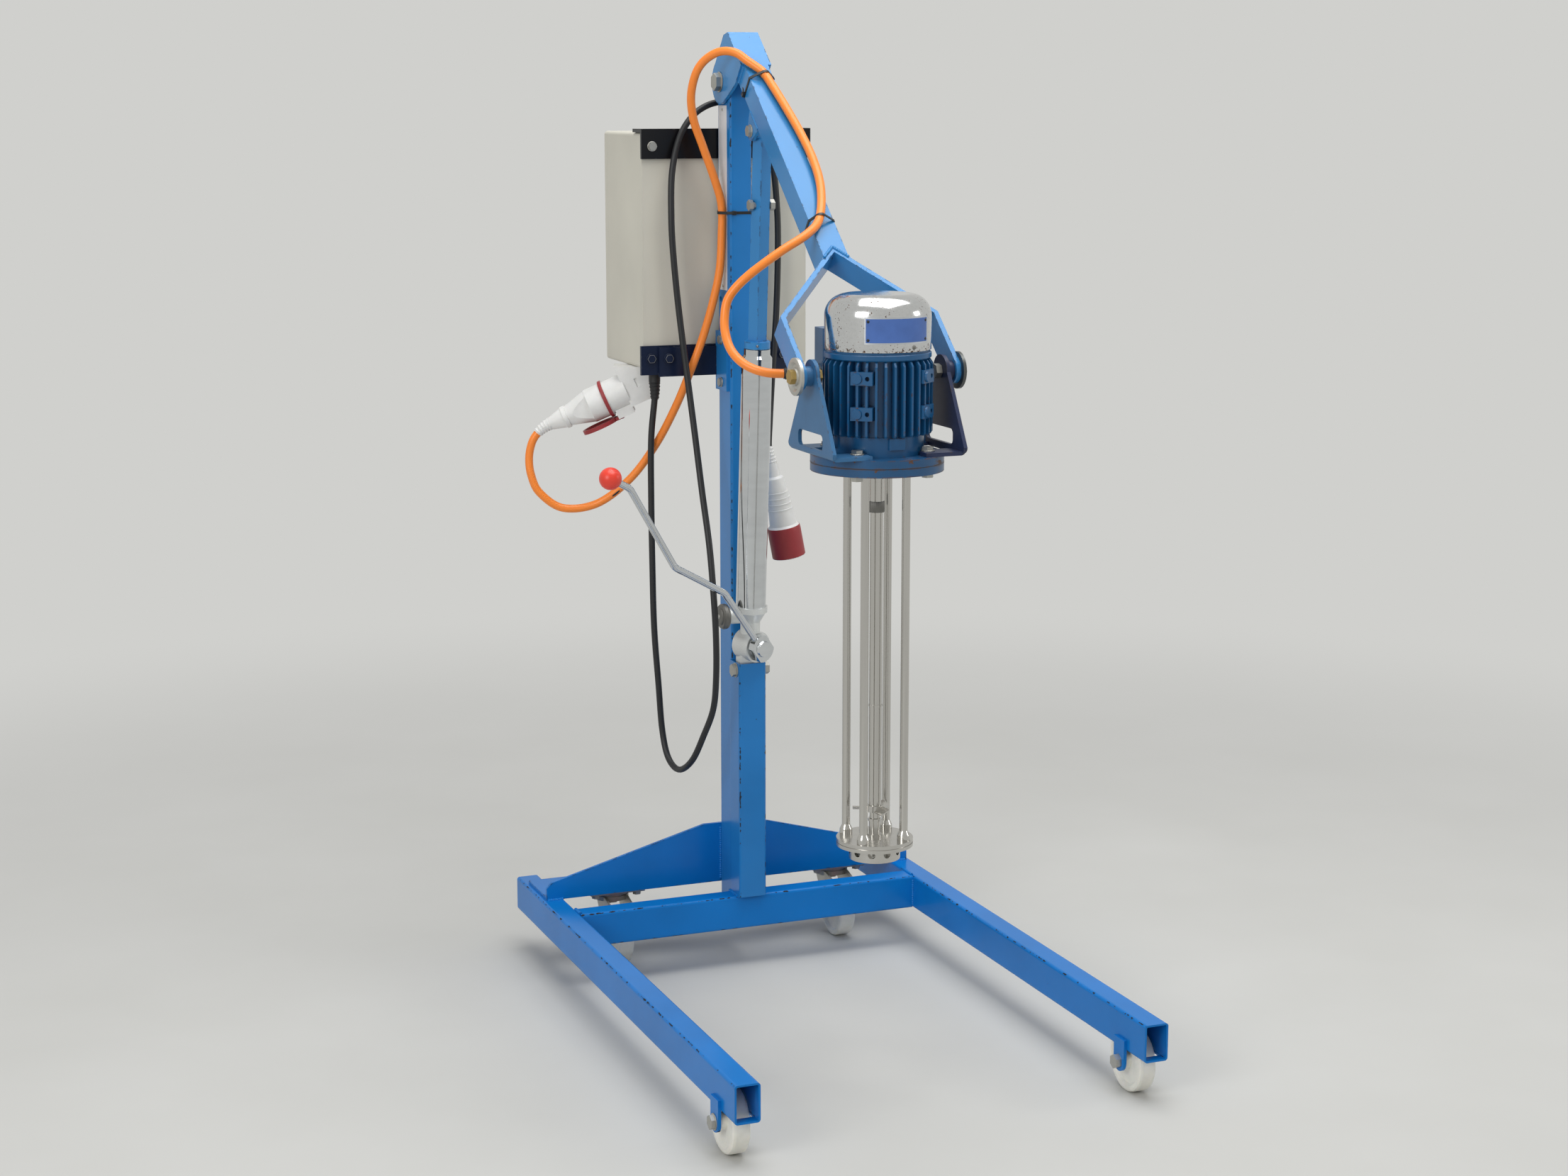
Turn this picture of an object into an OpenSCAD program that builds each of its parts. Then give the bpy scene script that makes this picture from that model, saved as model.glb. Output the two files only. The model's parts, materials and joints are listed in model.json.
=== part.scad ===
// Mobile high-shear mixer: a wheeled U base carries a column, a hydraulic jack
// lifts the arm, and the motor head with its rotor-stator stays plumb on two trunnions.
// Millimetres, +Z up, the mixing head is on the -Y side of the column.

/* [Base] */
// Width over the two base rails
base_w = 706; // [640:2:780]
// Width of the rail and column tube
tube_w = 40; // [36:1:46]
// Depth of the rail and column tube
tube_d = 60; // [54:1:70]
// Wall of the square and oblong tubes
tube_t = 3; // [2:0.5:4]
// Outside corner radius of the tubes
tube_r = 5; // [3:0.5:7]
// Underside of the rails above the floor
rail_clear = 69; // [66:1:80]
// Rails in front of the column face
leg_reach = 887; // [820:1:960]
// Rails behind the column face
leg_rear = 218; // [200:1:260]
// Front end of a rail to its wheel axle
axle_inset = 71; // [60:1:90]
// Plates that hold a front axle
lug_t = 5; // [4:0.5:8]
// Width of an axle plate
lug_w = 32; // [28:1:40]
// Axle plate above the rail underside
lug_up = 18; // [10:1:30]

/* [Rear crossmember] */
// Half width of the crossmember
cross_half = 345; // [335:1:350]
// Plate of the crossmember
cross_t = 6; // [5:0.5:8]
// Height of the web at the column
cross_h = 108; // [90:1:130]
// Height of the web at its ends
cross_end = 31; // [25:1:45]
// Half width of the level top edge
cross_flat = 51; // [40:1:70]
// Depth of the bottom flange
cross_d = 110; // [100:1:125]
// Cut corner of the web ends
cross_cut = 10; // [5:1:15]

/* [Wheels] */
// Diameter of all four wheels
wheel_d = 100; // [96:1:102]
// Tread of a front wheel
front_w = 28; // [24:1:30]
// Front axle bolt
axle_d = 12; // [10:1:14]
// Tread of a caster wheel
caster_w = 30; // [26:1:34]
// Caster axle
caster_axle_d = 10; // [8:1:12]
// Swivel pins either side of the middle
caster_x = 212; // [200:1:225]
// Swivel pins behind the column
caster_y = 45; // [42:1:55]
// Trail of a caster wheel
caster_trail = 35; // [30:1:38]
// Caster top plate width
plate_w = 100; // [90:1:110]
// Caster top plate depth
plate_d = 80; // [74:1:84]
// Caster top plate thickness
plate_t = 4; // [3:0.5:5]
// Swivel race
race_d = 58; // [50:1:64]
// Height of the swivel race
race_h = 8; // [6:0.5:9]
// Swivel pin
king_d = 14; // [12:1:16]
// Top of a caster fork
fork_t = 8; // [6:0.5:8]
// Side plate of a caster fork
fork_leg = 4; // [3:0.5:5]
// Brake pedal pin
brake_pin = 6; // [5:0.5:7]
// Brake pin in front of the swivel pin
brake_y = 62; // [60:1:66]
// Brake pin above the floor
brake_z = 100; // [98:1:104]
// Brake pad length
brake_pad = 26; // [20:1:28]

/* [Column] */
// Arm pivot above the floor
pivot_z = 1537; // [1500:1:1580]
// Arm pivot behind the column face
pivot_y = 30; // [28:1:34]
// Arm pivot bolt
pivot_d = 16; // [14:1:18]
// Column top above the pivot
col_over = 22; // [18:1:24]
// Hole in the column's left face
tap_d = 9; // [6:0.5:11]
// Height of that hole
tap_z = 1171; // [1150:1:1190]
// Bracket plate on the column's left face
clamp_t = 6; // [4:0.5:8]
// Height of the bracket plate
clamp_h = 101; // [90:1:110]
// Depth of the bracket plate
clamp_d = 52; // [48:1:54]

/* [Jack] */
// Side of the square jack post
post_w = 50; // [48:1:56]
// Top of the jack post
post_z = 548; // [500:1:560]
// Jack bolt in front of the column
foot_y = 32; // [31:0.5:34]
// Jack bolt below the post top
foot_drop = 13; // [12:0.5:18]
// Jack bolt
foot_d = 12; // [10:1:14]
// Pump drum
drum_d = 54; // [48:1:54]
// Drum axis above the jack bolt
drum_z = 44; // [42:1:50]
// Drum turned to the right
drum_yaw = 20; // [10:1:25]
// Rocker shaft
rock_d = 34; // [28:1:38]
// Rocker shaft cap
cap_d = 40; // [36:1:46]
// Release valve boss above the jack bolt
valve_z = 98; // [96:1:102]
// Release knob
valve_d = 44; // [38:1:48]
// Release knob width
valve_w = 16; // [12:1:20]
// Release valve stem
stem_d = 12; // [10:1:14]
// Foot of the cylinder above the jack bolt
barrel_z = 114; // [112:1:120]
// Cylinder diameter
barrel_d = 52; // [48:1:56]
// Cylinder length
barrel_l = 438; // [420:1:445]
// Cylinder bore
barrel_bore = 42; // [38:1:44]
// Gland on the cylinder
gland_h = 10; // [8:1:12]
// Piston rod
ram_d = 30; // [26:1:34]
// Collar of the push tube
collar_d = 44; // [40:1:50]
// Height of that collar
collar_h = 12; // [10:1:16]
// Side of the square push tube
push_w = 22; // [20:0.5:22]
// Push tube turned about its axis
push_turn = 22; // [0:1:30]
// Wall of the push tube
push_t = 2.5; // [2:0.5:4]
// Cross bolt below the link bolt
cross_bolt = 122; // [100:1:150]
// Cross bolt and link bolt diameter
link_d = 10; // [8:1:10]
// Play of the slotted eye to either side
eye_play = 7; // [6.8:0.1:7.5]
// Play of the slotted eye along the ram
eye_slack = 1.6; // [1.4:0.1:2]
// Wall round the eye
eye_wall = 4.4; // [4:0.1:5]

/* [Pump lever] */
// Lever rod
lever_d = 12; // [10:0.5:13]
// Bend radius of the rod
lever_bend = 26; // [20:1:34]
// Ball at its end
ball_d = 37; // [30:1:42]

/* [Lift arm] */
// Arm below the level at rest
arm_droop = 40.8; // [38:0.2:42]
// Width of the arm box
arm_w = 42; // [42:0.5:46]
// Depth of the arm box
arm_h = 40; // [36:1:44]
// Arm axis above the pivot
arm_rise = 67; // [65:1:72]
// Pivot to trunnion along the arm
arm_reach = 742; // [700:1:780]
// Arm box behind the pivot
arm_tail = 36; // [34:1:40]
// Cheek plates
cheek_t = 6; // [5:0.5:8]
// Round end of the cheeks
cheek_r = 37; // [32:1:40]
// Cheeks in front of the pivot
cheek_f = 58; // [50:1:64]
// Link bolt in front of the pivot
link_y = 150; // [145:1:155]
// Link bolt above the pivot
link_z = 24; // [22:1:26]
// Link plates
link_t = 6; // [5:0.5:6]
// Round end of the link plates
link_r = 16; // [14:1:18]

/* [Yoke] */
// Bar of the yoke
yoke_t = 8; // [6:0.5:10]
// Width of the yoke bar
yoke_w = 40; // [36:1:46]
// Half spread of the yoke, to the bar middle
yoke_half = 127; // [125:1:132]
// Apex to trunnion
yoke_rise = 248; // [235:1:260]
// Bend to trunnion
yoke_leg = 105; // [95:1:115]
// Trunnion bolt
trun_d = 12; // [10:1:14]
// Trunnion disc
disc_d = 57; // [50:1:60]
// Trunnion disc thickness
disc_t = 6; // [4:0.5:8]

/* [Motor] */
// Over the cooling fins
fin_d = 168; // [164:1:172]
// Motor body inside the fins
body_d = 136; // [132:1:140]
// Fin thickness
fin_t = 3.5; // [3:0.5:4]
// Number of fins
fin_n = 36; // [32:4:40]
// Trunnion axis above the motor flange
trun_up = 120; // [114:1:126]
// End bell height
bell_h = 30; // [26:1:34]
// End bell diameter
bell_d = 142; // [136:1:143]
// Finned length
frame_h = 122; // [116:1:126]
// Fan cowl diameter
cowl_d = 162; // [158:1:164]
// Fan cowl height
cowl_h = 83; // [78:1:90]
// Fan cowl sheet
cowl_t = 2; // [1:0.5:3]
// Round of the cowl
cowl_r = 33; // [25:1:40]
// Groove between fins and cowl
cowl_gap = 6; // [4:1:8]
// Both flanges
flange_d = 204; // [200:1:210]
// Motor flange thickness
flange_t = 13; // [11:1:15]
// Mixer flange thickness
mount_t = 13; // [11:1:15]
// Flange bolt spacing
bolt_sq = 116; // [112:1:118]
// Flange bolts
bolt_d = 10; // [8:1:11]
// Hanger plates
hang_t = 6; // [5:0.5:7]
// Inside faces of the hangers from the middle
hang_x = 104; // [103.5:0.5:106]
// Foot length of a hanger
hang_foot = 88; // [84:1:92]
// Outside bend of a hanger
hang_bend = 9; // [7:0.5:11]
// Terminal box width
term_w = 104; // [96:1:110]
// Terminal box height
term_h = 84; // [76:1:88]
// Terminal box depth
term_d = 42; // [38:1:46]

/* [Mixer] */
// Spacer rods
rod_d = 13; // [11:0.5:14]
// Length of the rods
rod_l = 579; // [540:1:620]
// Square of the rods
rod_sq = 68; // [62:1:72]
// Drive shaft
shaft_d = 20; // [18:0.5:21]
// Shaft below the propeller
neck_d = 16; // [15:0.5:17]
// Motor bearings
bearing_d = 42; // [40:1:44]
// Motor rotor on the shaft
armature_d = 81; // [76:1:82]
// Shaft end in the bush
tip_d = 12; // [11:0.5:12.5]
// Base disc
base_d = 120; // [112:1:126]
// Base disc thickness
base_t = 12; // [10:1:14]
// Bush housing
bush_d = 18; // [17.5:0.5:19]
// Bush housing height
bush_h = 30; // [26:1:32]
// Stator ring
stator_d = 80; // [76:1:84]
// Stator height
stator_h = 21; // [19:1:24]
// Stator wall
stator_t = 7; // [5:0.5:8]
// Stator holes
slot_d = 12; // [10:0.5:13]
// Number of stator holes
slot_n = 10; // [8:1:12]
// Shear gap between rotor and stator
shear_gap = 0.3; // [0.2:0.1:0.5]
// Propeller span
prop_d = 69; // [60:1:72]
// Propeller collar above the base disc
prop_z = 46; // [44:1:60]

/* [Switch box] */
// Width of the box
enc_w = 300; // [290:1:310]
// Height of the box
enc_h = 400; // [385:1:410]
// Depth of the box with its door
enc_d = 200; // [190:1:210]
// Box off the column middle
enc_x = -5; // [-12:1:2]
// Underside of the box
enc_z = 1053; // [1045:1:1060]
// Sheet of box and door
enc_t = 2; // [1.5:0.5:3]
// Door depth
door_d = 16; // [14:1:20]
// Bracket angle thickness
brk_t = 6; // [5:0.5:7]
// Bracket angle height
brk_h = 50; // [44:1:56]
// Upper bracket over the box
brk_d = 40; // [34:1:50]
// Hinge pins of the door
hinge_d = 6; // [5:0.5:7]
// Main switch knob
switch_d = 42; // [36:1:48]
// Main switch reach from the door
switch_h = 30; // [26:1:34]
// Main switch spindle
spindle_d = 10; // [8:1:12]

/* [Plugs and cables] */
// Socket barrel
sock_d = 60; // [56:1:62]
// Socket turned to the rear
sock_yaw = 20; // [15:1:25]
// Socket below the level
sock_pitch = 24; // [20:1:28]
// Red collar of the plug
plug_d = 66; // [62:1:68]
// Length of the power plug
plug_l = 110; // [100:1:115]
// Lid hinge pin
lid_pin = 6; // [5:0.5:7]
// Mains plug collar
mains_d = 58; // [54:1:62]
// Mains plug length
mains_l = 170; // [160:1:180]
// Motor cable
motor_cable_d = 14; // [12:0.5:15]
// Mains cable
mains_cable_d = 11; // [9:0.5:12]

/* [Hidden] */
$fn = 48;

// Clearances: a running fit, a face that turns past another, and a drilled hole
run = 0.05;
face_gap = 0.3;
hole = 0.2;

blue = [0.16, 0.45, 0.78];
motor_blue = [0.08, 0.3, 0.48];
steel = [0.72, 0.74, 0.76];
zinc = [0.62, 0.63, 0.62];
navy = [0.1, 0.13, 0.22];
cream = [0.8, 0.79, 0.74];
nylon = [0.9, 0.87, 0.76];
red = [0.85, 0.2, 0.17];
orange = [0.95, 0.45, 0.15];
black = [0.06, 0.06, 0.07];
white = [0.9, 0.9, 0.88];
grey = [0.5, 0.51, 0.52];
brass = [0.75, 0.6, 0.3];

rail_top = rail_clear + tube_d;
rail_x = base_w / 2 - tube_w / 2;
box_y = tube_d + brk_t;
col_y = (leg_reach - box_y - enc_d - switch_h) / 2;
rail_len = leg_reach + leg_rear;
rail_mid = col_y + (leg_rear - leg_reach) / 2;
axle_y = col_y - leg_reach + axle_inset;
axle_z = wheel_d / 2;
col_top = pivot_z + col_over;

cast_y = col_y + tube_d + caster_y;
cast_plate_z = rail_top - plate_t;
fork_top = cast_plate_z - race_h - face_gap;
fork_low = fork_top - fork_t;
leg_in = caster_w / 2 + 3;

foot_z = post_z - foot_drop;
trun_y = pivot_y - arm_reach * cos(arm_droop) - arm_rise * sin(arm_droop);
trun_z = pivot_z - arm_reach * sin(arm_droop) + arm_rise * cos(arm_droop);
pin_y = pivot_y - link_y * cos(arm_droop) - link_z * sin(arm_droop);
pin_z = pivot_z - link_y * sin(arm_droop) + link_z * cos(arm_droop);
jack_lean = atan2(-foot_y - pin_y, pin_z - foot_z);
jack_len = sqrt(pow(pin_y + foot_y, 2) + pow(pin_z - foot_z, 2));
gland_z = barrel_z + barrel_l;
collar_z = gland_z + gland_h + 1;

// Lever rod in the plane of its swing, to the left and up from the rocker shaft
rock_s = 29;
lever_path = [[8, 10], [85, 111], [196, 172], [294, 319], [334, 340]];
lever_turn = -atan2(lever_path[1][1] - lever_path[0][1], lever_path[1][0] - lever_path[0][0]);

arm_lo = arm_rise - arm_h / 2;
arm_hi = arm_rise + arm_h / 2;
yoke_k = (yoke_rise - yoke_leg) / yoke_half;
yoke_c = yoke_t / 2 * sqrt(1 + yoke_k * yoke_k);
yoke_top = -arm_reach + yoke_rise;
limb_out = yoke_half + yoke_t / 2;
limb_in = yoke_half - yoke_t / 2;

flange_z = -trun_up;
mount_z = flange_z - flange_t;
rods_z = mount_z - mount_t;
disc_z = rods_z - rod_l;
stator_z = disc_z - base_t;
frame_lo = flange_z + bell_h;
frame_hi = frame_lo + frame_h;
cowl_lo = frame_hi + cowl_gap;
term_y = fin_d / 2 + 2;
term_lo = -22;
gland_y = term_y + term_d / 2;
gland_mid = -7;
prop_mid = disc_z + prop_z;

enc_x0 = enc_x - enc_w / 2;
enc_x1 = enc_x + enc_w / 2;
enc_top = enc_z + enc_h;
door_y = box_y + enc_d - door_d;
hinge_x = enc_x1 + hinge_d / 2 + 3.5;

// Socket mouth and the plug on it
sock_at = [-160, 137, enc_z - 41];
sock_l = 38;
sock_dir = [-cos(sock_pitch) * cos(sock_yaw), cos(sock_pitch) * sin(sock_yaw), -sin(sock_pitch)];
plug_tail = sock_at + (sock_l + plug_l) * sock_dir;

// Hanging mains plug: cable entry and lean
mains_at = [67, 30, 885];
mains_lean = 11;
mains_dir = [sin(mains_lean), 0, -cos(mains_lean)];

// Cable routes as seen in the photo, from the column face
arm_tie_1 = [3, -101, 1549];
arm_tie_way = unit([0.3, -0.7, -0.65]);
lower_route = concat([plug_tail, plug_tail + 6 * sock_dir],
  [[-305, 190, 939], [-317, 194, 921], [-323, 196, 893], [-321, 192, 862], [-308, 185, 831],
   [-270, 171, 804], [-214, 150, 812], [-163, 120, 857], [-124, 95, 918], [-98, 65, 985],
   [-81, 42, 1043], [-60, 34, 1102],
   [-44, 25, 1163], [-32, 20, 1223], [-28, 20, 1285], [-28, 20, 1330], [-38, 20, 1368],
   [-62, 20, 1432], [-79, 15, 1473], [-87, 6, 1512], [-84, -6, 1547], [-74, -17, 1569],
   [-59, -33, 1583], [-45, -48, 1587], [-31, -64, 1583], [-18, -78, 1571]],
  [arm_tie_1 - 10 * arm_tie_way, arm_tie_1]);
gland_end = [-term_w / 2 - 28, trun_y + gland_y, trun_z + gland_mid];
upper_route = concat([arm_tie_1 + 0.1 * arm_tie_way, arm_tie_1 + 10 * arm_tie_way],
  [[15, -157, 1501], [23, -211, 1454], [25, -261, 1411], [17, -310, 1369], [-7, -361, 1325],
   [-40, -390, 1303], [-88, -397, 1277], [-139, -389, 1240], [-166, -380, 1208],
   [-175, -384, 1176], [-177, -396, 1149], [-173, -414, 1126], [-160, -438, 1108],
   [-136, -458, 1098]],
  [gland_end - [22, 0, 0], gland_end]);
main_gland = [-130, 81, enc_z - 24];
mains_route = concat([main_gland, main_gland - [0, 0, 28]],
  [[-136, 84, 930], [-137, 84, 829], [-136, 84, 712], [-133, 86, 596], [-125, 88, 490],
   [-117, 94, 409], [-113, 74, 362], [-107, 34, 349], [-99, -12, 376], [-86, -36, 425],
   [-74, -52, 475], [-76, -72, 536], [-79, -80, 609], [-81, -74, 682], [-80, -52, 761],
   [-81, -20, 850], [-85, 4, 948], [-91, 22, 1041], [-97, 28, 1102], [-104, 33, 1175],
   [-111, 35, 1259], [-113, 36, 1319], [-109, 42, 1385], [-94, 50, 1440], [-70, 57, 1476],
   [-40, 66, 1496], [-5, 72, 1504], [29, 68, 1498], [55, 58, 1475], [70, 50, 1439],
   [77, 47, 1397], [84, 46, 1315], [84, 44, 1235], [80, 42, 1140], [71, 37, 1040],
   [64, 32, 955]],
  [mains_at - 28 * mains_dir, mains_at]);

// Sections and plates
module round_rect(w, d, r) {
  square([w - 2 * r, d], center = true);
  square([w, d - 2 * r], center = true);
  for (sx = [-1, 1], sy = [-1, 1]) translate([sx * (w / 2 - r), sy * (d / 2 - r)]) circle(r);
}

module tube_2d(w, d) {
  difference() {
    round_rect(w, d, tube_r);
    round_rect(w - 2 * tube_t, d - 2 * tube_t, max(tube_r - tube_t, 1));
  }
}

// A plate drawn in Y and Z, thick along X about its middle
module yz(t) {
  rotate([90, 0, 90]) linear_extrude(t, center = true) children();
}

// A plate drawn in X and Z, thick along Y about its middle
module xz(t) {
  rotate([90, 0, 0]) linear_extrude(t, center = true) children();
}

// A round bar along X about its middle
module bar_x(d, l) {
  rotate([0, 90, 0]) cylinder(d = d, h = l, center = true);
}

// A hex head under z = 0 with its shank above
module hex_bolt(d, grip) {
  translate([0, 0, -0.65 * d]) cylinder(d = 1.9 * d, h = 0.65 * d, $fn = 6);
  cylinder(d = d, h = grip);
}

// The same with a nut whose face is at z = grip
module nut_bolt(d, grip) {
  hex_bolt(d, grip + 0.8 * d);
  translate([0, 0, grip]) cylinder(d = 1.9 * d, h = 0.8 * d, $fn = 6);
}

// A cable swept along a route of points
function unit(v) = v / norm(v);
function tangent(p, i) = unit(p[min(i + 1, len(p) - 1)] - p[max(i - 1, 0)]);
function ring(c, t, r, n) =
  let (a = unit(cross(t, [0.17, 1, 0.11])), b = cross(a, t))
  [for (k = [0 : n - 1]) c + r * (cos(360 * k / n) * a + sin(360 * k / n) * b)];

module cable(route, d) {
  n = 10;
  m = len(route);
  pts = [for (i = [0 : m - 1]) each ring(route[i], tangent(route, i), d / 2, n)];
  sides = [for (i = [0 : m - 2], k = [0 : n - 1])
    [i * n + k, (i + 1) * n + k, (i + 1) * n + (k + 1) % n, i * n + (k + 1) % n]];
  caps = [[for (k = [0 : n - 1]) k], [for (k = [n - 1 : -1 : 0]) (m - 1) * n + k]];
  translate([0, col_y, 0]) polyhedron(pts, concat(sides, caps), convexity = 6);
}

// Frames of the moving parts
module in_jack() {
  translate([0, col_y - foot_y, foot_z]) rotate([jack_lean, 0, 0]) children();
}

module in_lever() {
  in_jack() translate([0, 0, drum_z]) rotate([0, 0, drum_yaw]) children();
}

module in_arm() {
  translate([0, col_y + pivot_y, pivot_z]) rotate([arm_droop, 0, 0]) children();
}

module in_head() {
  translate([0, col_y + trun_y, trun_z]) children();
}

module in_socket() {
  translate([sock_at[0], col_y + sock_at[1], sock_at[2]])
    rotate([0, 0, 180 - sock_yaw]) rotate([0, sock_pitch, 0]) children();
}

// Base
module rail(s) {
  difference() {
    union() {
      translate([s * rail_x, rail_mid, rail_top - tube_d / 2])
        xz(rail_len) tube_2d(tube_w, tube_d);
      translate([s * rail_x, col_y + leg_rear - tube_t / 2, rail_top - tube_d / 2])
        xz(tube_t) round_rect(tube_w, tube_d, tube_r);
      for (e = [-1, 1])
        translate([s * rail_x + e * (tube_w + lug_t) / 2, axle_y, 0]) yz(lug_t) {
          translate([0, axle_z]) circle(d = lug_w);
          translate([-lug_w / 2, axle_z]) square([lug_w, rail_clear + lug_up - axle_z]);
        }
    }
    translate([s * rail_x, axle_y, axle_z]) bar_x(axle_d + hole, tube_w + 4 * lug_t);
    translate([s * rail_x - front_w / 2 - 2, axle_y - wheel_d / 2 - 4, rail_clear - 1])
      cube([front_w + 4, wheel_d + 12, tube_t + 2]);
  }
}

module base_rails() {
  color(blue) {
    rail(-1);
    rail(1);
    translate([0, col_y - tube_w / 2, rail_top - tube_d / 2])
      yz(base_w - 2 * tube_w) tube_2d(tube_w, tube_d);
  }
}

module caster_holes(d) {
  for (s = [-1, 1], ex = [-1, 1], ey = [-1, 1])
    translate([s * caster_x + ex * (plate_w / 2 - 12), cast_y + ey * (plate_d / 2 - 10), 0])
      cylinder(d = d, h = 2 * rail_top);
}

module rear_crossmember() {
  color(blue) difference() {
    union() {
      translate([0, col_y + tube_d + cross_t / 2, rail_top]) xz(cross_t)
        polygon([[-cross_half, 0], [cross_half, 0], [cross_half, cross_end - cross_cut],
          [cross_half - cross_cut, cross_end], [cross_flat, cross_h], [-cross_flat, cross_h],
          [cross_cut - cross_half, cross_end], [-cross_half, cross_end - cross_cut]]);
      translate([-cross_half, col_y + tube_d, rail_top]) cube([2 * cross_half, cross_d, cross_t]);
    }
    caster_holes(8 + 2 * hole);
  }
}

module column() {
  clamp_mid = enc_z + brk_h / 2 - 12;
  color(blue) difference() {
    union() {
      translate([0, col_y + tube_d / 2, rail_clear]) linear_extrude(col_top - rail_clear)
        tube_2d(tube_w, tube_d);
      translate([0, col_y + tube_d / 2, col_top - tube_t]) linear_extrude(tube_t)
        round_rect(tube_w, tube_d, tube_r);
      translate([-tube_w / 2 - clamp_t, col_y + tube_d - clamp_d - 2, clamp_mid - clamp_h / 2])
        cube([clamp_t, clamp_d, clamp_h]);
    }
    translate([0, col_y + pivot_y, pivot_z]) bar_x(pivot_d + hole, 2 * tube_w);
    translate([-tube_w / 2, col_y + tube_d - 12, tap_z]) bar_x(tap_d, 4 * tube_t);
    for (e = [-1, 1])
      translate([-tube_w / 2, col_y + tube_d / 2, clamp_mid + e * (clamp_h / 2 - 14)])
        bar_x(8 + hole, 6 * clamp_t);
  }
}

module jack_post() {
  color(blue) difference() {
    translate([0, col_y - post_w / 2, rail_top]) linear_extrude(post_z - rail_top)
      tube_2d(post_w, post_w);
    translate([0, col_y - foot_y, foot_z]) bar_x(foot_d + hole, 2 * post_w);
  }
}

module front_axles() {
  color(zinc) for (s = [0, 1]) mirror([s, 0, 0])
    translate([base_w / 2 + lug_t, axle_y, axle_z]) rotate([0, -90, 0])
      nut_bolt(axle_d, tube_w + 2 * lug_t);
}

module wheel(w, hub_d, hub_l, bore) {
  r = wheel_d / 2;
  rotate([0, 90, 0]) rotate_extrude($fn = 72) polygon([
    [bore / 2, -hub_l / 2], [hub_d / 2, -hub_l / 2], [hub_d / 2, 5 - w / 2], [r - 13, 5 - w / 2],
    [r - 9, -w / 2], [r - 4, -w / 2], [r - 1.2, 1.6 - w / 2], [r, 5 - w / 2],
    [r, w / 2 - 5], [r - 1.2, w / 2 - 1.6], [r - 4, w / 2], [r - 9, w / 2],
    [r - 13, w / 2 - 5], [hub_d / 2, w / 2 - 5], [hub_d / 2, hub_l / 2], [bore / 2, hub_l / 2]]);
}

module front_wheel(s) {
  color(nylon) translate([s * rail_x, axle_y, axle_z])
    wheel(front_w, 26, tube_w - 2 * face_gap, axle_d + 2 * run);
}

module front_wheel_left() { front_wheel(-1); }
module front_wheel_right() { front_wheel(1); }

// Casters
module caster_plates() {
  color(zinc) difference() {
    for (s = [-1, 1]) translate([s * caster_x, cast_y, 0]) {
      translate([-plate_w / 2, -plate_d / 2, cast_plate_z]) cube([plate_w, plate_d, plate_t]);
      translate([0, 0, cast_plate_z - race_h]) cylinder(d = race_d, h = race_h);
      translate([0, 0, fork_low - 8]) cylinder(d = king_d, h = rail_top - fork_low);
      translate([0, 0, fork_low - 8]) cylinder(d = 1.8 * king_d, h = 8 - face_gap, $fn = 6);
    }
    caster_holes(8 + 2 * hole);
  }
}

module caster_fork(s) {
  color(zinc) translate([s * caster_x, cast_y, 0]) {
    difference() {
      union() {
        translate([0, 0, fork_low]) cylinder(d = race_d + 4, h = fork_t);
        for (e = [-1, 1]) translate([e * (leg_in + fork_leg / 2), 0, 0]) yz(fork_leg) {
          polygon([[24, fork_top], [-30, fork_top], [-brake_y, brake_z + 8], [-brake_y, brake_z - 8],
            [-caster_trail - 14, axle_z + 30], [-caster_trail - 14, axle_z],
            [14 - caster_trail, axle_z]]);
          translate([-caster_trail, axle_z]) circle(r = 14);
          translate([-brake_y, brake_z]) circle(r = 8);
        }
        translate([0, -caster_trail, axle_z]) bar_x(caster_axle_d, 2 * (leg_in + fork_leg + 6));
        for (e = [-1, 1]) translate([e * (leg_in + fork_leg + 3), -caster_trail, axle_z])
          rotate([0, 90, 0]) cylinder(d = 18, h = 6, center = true, $fn = 6);
        translate([0, -brake_y, brake_z]) bar_x(brake_pin, 2 * (leg_in + fork_leg));
      }
      translate([0, 0, fork_low - 1]) cylinder(d = king_d + 2 * run, h = fork_t + 2);
    }
  }
}

module caster_fork_left() { caster_fork(-1); }
module caster_fork_right() { caster_fork(1); }

module caster_wheel(s) {
  color(nylon) translate([s * caster_x, cast_y - caster_trail, axle_z])
    wheel(caster_w, 26, 2 * (leg_in - face_gap), caster_axle_d + 2 * run);
}

module caster_wheel_left() { caster_wheel(-1); }
module caster_wheel_right() { caster_wheel(1); }

module brake_pedal(s) {
  color(red) translate([s * caster_x, cast_y - brake_y, brake_z]) difference() {
    union() {
      bar_x(brake_pin + 5, 2 * (leg_in - face_gap));
      rotate([-12, 0, 0]) translate([0, -brake_pad / 2 - 2, 2.5])
        linear_extrude(4, center = true) round_rect(2 * leg_in - 4, brake_pad, 4);
    }
    bar_x(brake_pin + 2 * run, 3 * leg_in);
  }
}

module brake_pedal_left() { brake_pedal(-1); }
module brake_pedal_right() { brake_pedal(1); }

// Fasteners that stay with the frame
module box_bolt(x, y, z) {
  translate([x, col_y + y, z]) rotate([-90, 0, 0]) hex_bolt(8, box_y - y + enc_t + 6);
}

module bracket_bolts() {
  for (sx = [-1, 1]) box_bolt(enc_x + sx * (enc_w / 2 - 17), tube_d, enc_top - 23);
  box_bolt(enc_x0 + 12, tube_d, enc_z + 18);
  box_bolt(enc_x0 + 42, tube_d - brk_t, enc_z + 18);
  box_bolt(enc_x1 - 46, tube_d, enc_z + 18);
}

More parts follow.
